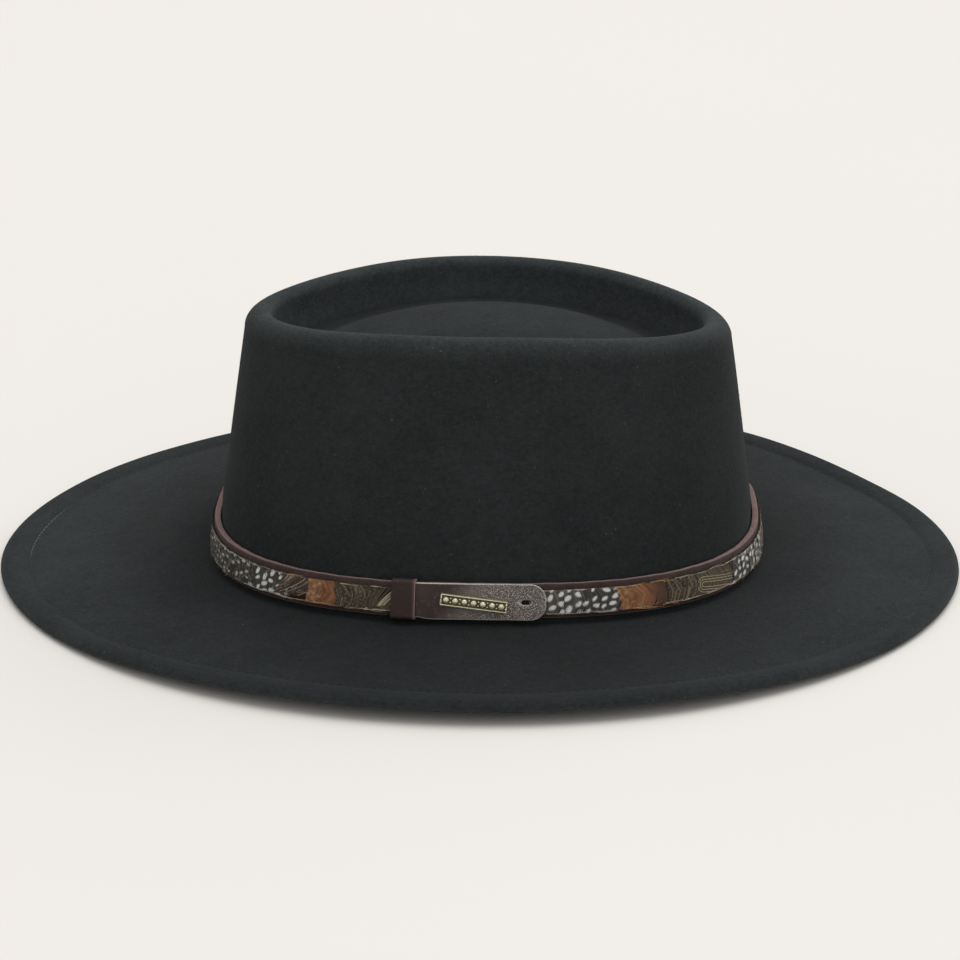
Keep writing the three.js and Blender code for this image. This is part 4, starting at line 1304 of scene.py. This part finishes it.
def feather_vanes():
    """Overlapping vanes whose tips point to the front. A barb leaves the shaft at distance d and runs
    out and forward to the vane's outline: across = w v, ahead = d - sweep v^1.3, with v from 0 to 1.
    The vane is turned a little and trimmed at the strip's edges. It is highest at its tip and
    sinks to its root, under the tip of the next."""
    tips, kinds, lengths = vane_places()
    count = len(tips)
    each = (slice(None), None, None, None, None)
    by_barb = (None, None, slice(None), None, None)
    kind, length = kinds[each], lengths[each]
    turn = rng.normal(0, VANE_TURN, count)[each]
    offset = rng.uniform(-SHAFT_WANDER, SHAFT_WANDER, count)
    for fixed_kind, height in SHAFT_HEIGHTS.items():
        offset = np.where(kinds == fixed_kind, height, offset)
    offset = offset[each]
    vane = np.arange(count)[each]
    u = ((np.arange(VANE_BARBS) + 0.5) / VANE_BARBS)[by_barb]
    shade = rng.random((count, 2, VANE_BARBS, 1, 1))
    jitter = rng.normal(size=(count, 2, VANE_BARBS, 1, 1))
    side = np.array([-1, 1])[None, :, None, None, None]
    root = 0.6 + u * length
    reach = VANE_REACH * np.minimum(1, 0.3 + 1.5 * np.sqrt(u * length / REACH_GROWS_OVER))
    reach = reach * (1 + 0.03 * jitter)
    forward = np.array([FEATHERS[name]["sweep"] for name in kinds])[each]
    sweep = (0.7 + forward * np.minimum(u * length / SWEEP_GROWS_OVER, 1)) * (1 + 0.12 * jitter)
    start_up = offset + root * np.sin(turn)
    end_up = offset + (root - sweep) * np.sin(turn) + side * reach * np.cos(turn)
    trimmed = np.clip((side * FEATHER_HALF - start_up) / (end_up - start_up), 0.03, 1)
    v = np.linspace(0, 1, VANE_STEPS + 1)[:, None] * trimmed
    edge = np.array([-0.65, 0.65]) * length / VANE_BARBS
    ahead = root - sweep * v**1.3 + edge * (1 - 0.3 * v**3)
    across = side * reach * v
    ahead, across, kind, vane, shade = np.broadcast_arrays(ahead, across, kind, vane, shade)
    up = np.clip(offset + ahead * np.sin(turn) + across * np.cos(turn), -FEATHER_HALF, FEATHER_HALF)
    along = np.clip(tips[each] + ahead * np.cos(turn) - across * np.sin(turn), FEATHER_START, FEATHER_END)
    sink = (1 - np.clip(ahead, 0, length + 1) / (length + 1)) ** 0.8
    arch = 1 - 0.45 * (up / FEATHER_HALF) ** 2
    relief = (FEATHER_BACKING + FEATHER_RELIEF - 0.2) * sink * arch
    out = strap_outside(along) + GAP + 0.12 + relief + 0.035 * jitter + 0.06 * edge
    points = band_point(along, FEATHER_MIDDLE + up, out)
    inwards = PENCIL_ROUNDING - np.hypot(np.maximum(PENCIL_ROUNDING + 0.5 - ahead, 0), across)
    values = {"dye": vane_colour(kind, ahead, across, vane, shade).reshape(-1, 3)}
    values["bow"] = np.where(kind == STRAW, inwards, -5)
    faces = repeated(grid_faces(VANE_STEPS + 1, 2), count * 2 * VANE_BARBS, (VANE_STEPS + 1) * 2)
    return points.reshape(-1, 3), faces, values


def loose_barbs(along, up, out, length, heading, bow, width):
    """Single barbs that lie on the strip: ribbons along (t cos h, t sin h + bow (t^2 - t)), narrowing
    to their tips. heading is the angle h from the run of the band."""
    t = np.linspace(0, 1, BARB_STEPS)[None, :, None]
    edge = np.array([-0.5, 0.5])[None, None, :]
    length, heading, bow, width = (np.asarray(x)[:, None, None] for x in (length, heading, bow, width))
    line_along = along[:, None, None] + length * t * np.cos(heading)
    line_up = up[:, None, None] + length * t * np.sin(heading) + bow * (t**2 - t)
    side = edge * width * (1 - 0.8 * t)
    line_along = line_along - side * np.sin(heading)
    line_up = np.clip(line_up + side * np.cos(heading), FEATHER_BOTTOM - 0.9, FEATHER_TOP + 0.9)
    lift = out[:, None, None] + 0.12 * np.sin(t * np.pi)
    points = band_point(line_along, line_up, strap_outside(line_along) + lift)
    return points.reshape(-1, 3), repeated(grid_faces(BARB_STEPS, 2), len(along), BARB_STEPS * 2)


def fringe():
    """Pale barbs trimmed off along the strip's two borders, and a few that have come loose."""
    count = FRINGE_BARBS
    along = rng.uniform(FEATHER_START, FEATHER_END - 8, count)
    border = np.where(rng.random(count) < 0.5, FEATHER_BOTTOM + 0.15, FEATHER_TOP - 0.15)
    up = border + rng.uniform(-0.25, 0.25, count)
    trimmed = loose_barbs(
        along,
        up,
        np.full(count, 0.85),
        rng.uniform(2.5, 7.5, count),
        rng.normal(0, 0.05, count),
        rng.normal(0, 0.25, count),
        rng.uniform(0.14, 0.3, count),
    )
    loose = LOOSE_BARBS
    a_place = loose // len(LOOSE_PLACES)
    clumps = np.concatenate([rng.normal(middle, scattered, a_place) for middle, scattered in LOOSE_PLACES])
    wisps = loose_barbs(
        clumps,
        rng.uniform(FEATHER_BOTTOM, FEATHER_TOP, loose),
        rng.uniform(0.9, 1.5, loose),
        rng.uniform(2, 5.5, loose),
        rng.uniform(0, 2 * np.pi, loose),
        rng.normal(0, 0.7, loose),
        rng.uniform(0.07, 0.13, loose),
    )
    points = np.vstack([trimmed[0], wisps[0]])
    faces = np.vstack([trimmed[1], wisps[1] + len(trimmed[0])])
    tone = np.concatenate([rng.random(count), 0.6 + 0.4 * rng.random(loose)])
    by_russet = np.any([(along > start) & (along < end) for start, end in ORANGE_STRETCHES], axis=0)
    orange = np.concatenate([by_russet, np.zeros(loose, bool)])
    dye = blend((0.2, 0.15, 0.1), (0.72, 0.66, 0.54), tone)
    dye = np.where(orange[:, None], dye * (1, 0.68, 0.42), dye).repeat(BARB_STEPS * 2, axis=0)
    return points, faces, {"dye": dye, "bow": np.full(len(points), -5)}


feather = feather_finish()
vane_points, vane_faces, vane_values = feather_vanes()
piece("feather_vanes", vane_points, vane_faces, feather, "feather_strip", vane_values)
fringe_points, fringe_faces, fringe_values = fringe()
piece("feather_fringe", fringe_points, fringe_faces, feather, "feather_strip", fringe_values)

# Nap of the felt and fuzz of the leather.

NAP_FIBRES = 52000
FUZZ_FIBRES = 4200
NAP_ROWS_OF_WELT = 14

shown_points = (outer_rows + NAP_ROWS_OF_WELT) * FELT_DIRECTIONS
shown_faces = felt_faces[felt_faces.max(axis=1) < shown_points]
nap_place, nap_normal = spread_on(flat_points, shown_faces, NAP_FIBRES)
nap_points, nap_faces = fibres(nap_place, nap_normal, length=1.3, width=0.06, stand=0.55)
piece("felt_nap", nap_points, nap_faces, nap_finish(), "felt_body")

edge_along = rng.uniform(0, FOOT_LENGTH, FUZZ_FIBRES)
edge_out = strap_inside(edge_along) + rng.uniform(0.05, STRAP_THICKNESS - 0.2, FUZZ_FIBRES)
edge_place = band_point(edge_along, STRAP_TOP, edge_out)
edge_normal = band_point(edge_along, STRAP_TOP + 1, edge_out) - edge_place
fuzz_points, fuzz_faces = fibres(edge_place, edge_normal, length=0.9, width=0.07, stand=0.9)
piece("strap_fuzz", fuzz_points, fuzz_faces, fuzz_finish(), "band_strap")

# Camera, light and floor.

CAMERA_AZIMUTH = 2.2
CAMERA_HEIGHT = 19.3
CAMERA_DISTANCE = 1.3
CAMERA_TARGET = Vector((0.0003, 0, 0.03185))
FOCAL_PIXELS = 3367
PHOTO_PIXELS = 960
SENSOR = 36
ROOM_LIGHT = 0.55
FLOOR_HALF = 60

az, el = math.radians(CAMERA_AZIMUTH), math.radians(CAMERA_HEIGHT)
back = Vector((math.sin(az) * math.cos(el), -math.cos(az) * math.cos(el), math.sin(el)))
camera = bpy.data.objects.new("camera", bpy.data.cameras.new("camera"))
camera.data.sensor_width = SENSOR
camera.data.lens = FOCAL_PIXELS * SENSOR / PHOTO_PIXELS
camera.data.clip_end = 50
camera.location = CAMERA_TARGET + back * CAMERA_DISTANCE
camera.rotation_euler = back.to_track_quat("Z", "Y").to_euler()
bpy.context.scene.collection.objects.link(camera)
bpy.context.scene.camera = camera


def window(name, towards, breadth, power):
    """A soft light from far away in a direction, of a breadth in degrees."""
    data = bpy.data.lights.new(name, "SUN")
    data.angle = math.radians(breadth)
    data.energy = power
    lamp = bpy.data.objects.new(name, data)
    lamp.rotation_euler = Vector(towards).to_track_quat("Z", "Y").to_euler()
    bpy.context.scene.collection.objects.link(lamp)


world = bpy.data.worlds.new("room")
world.use_nodes = True
room = world.node_tree.nodes["Background"].inputs
room["Color"].default_value = (1, 0.995, 0.985, 1)
room["Strength"].default_value = ROOM_LIGHT
bpy.context.scene.world = world
bpy.context.scene.view_settings.view_transform = "Standard"
window("overhead", (0.08, 0.2, 1.0), breadth=55, power=1.08)
window("from_behind_on_the_right", (1, 0.95, 0.45), breadth=70, power=0.95)
window("from_the_camera", (0.45, -1, 0.3), breadth=70, power=0.14)

floor_mesh = bpy.data.meshes.new("floor")
floor_corners = [(x * FLOOR_HALF, y * FLOOR_HALF, 0) for x, y in ((-1, -1), (1, -1), (1, 1), (-1, 1))]
floor_mesh.from_pydata(floor_corners, [], [(0, 1, 2, 3)])
floor_mesh.materials.append(floor_finish())
floor = bpy.data.objects.new("floor", floor_mesh)
bpy.context.scene.collection.objects.link(floor)
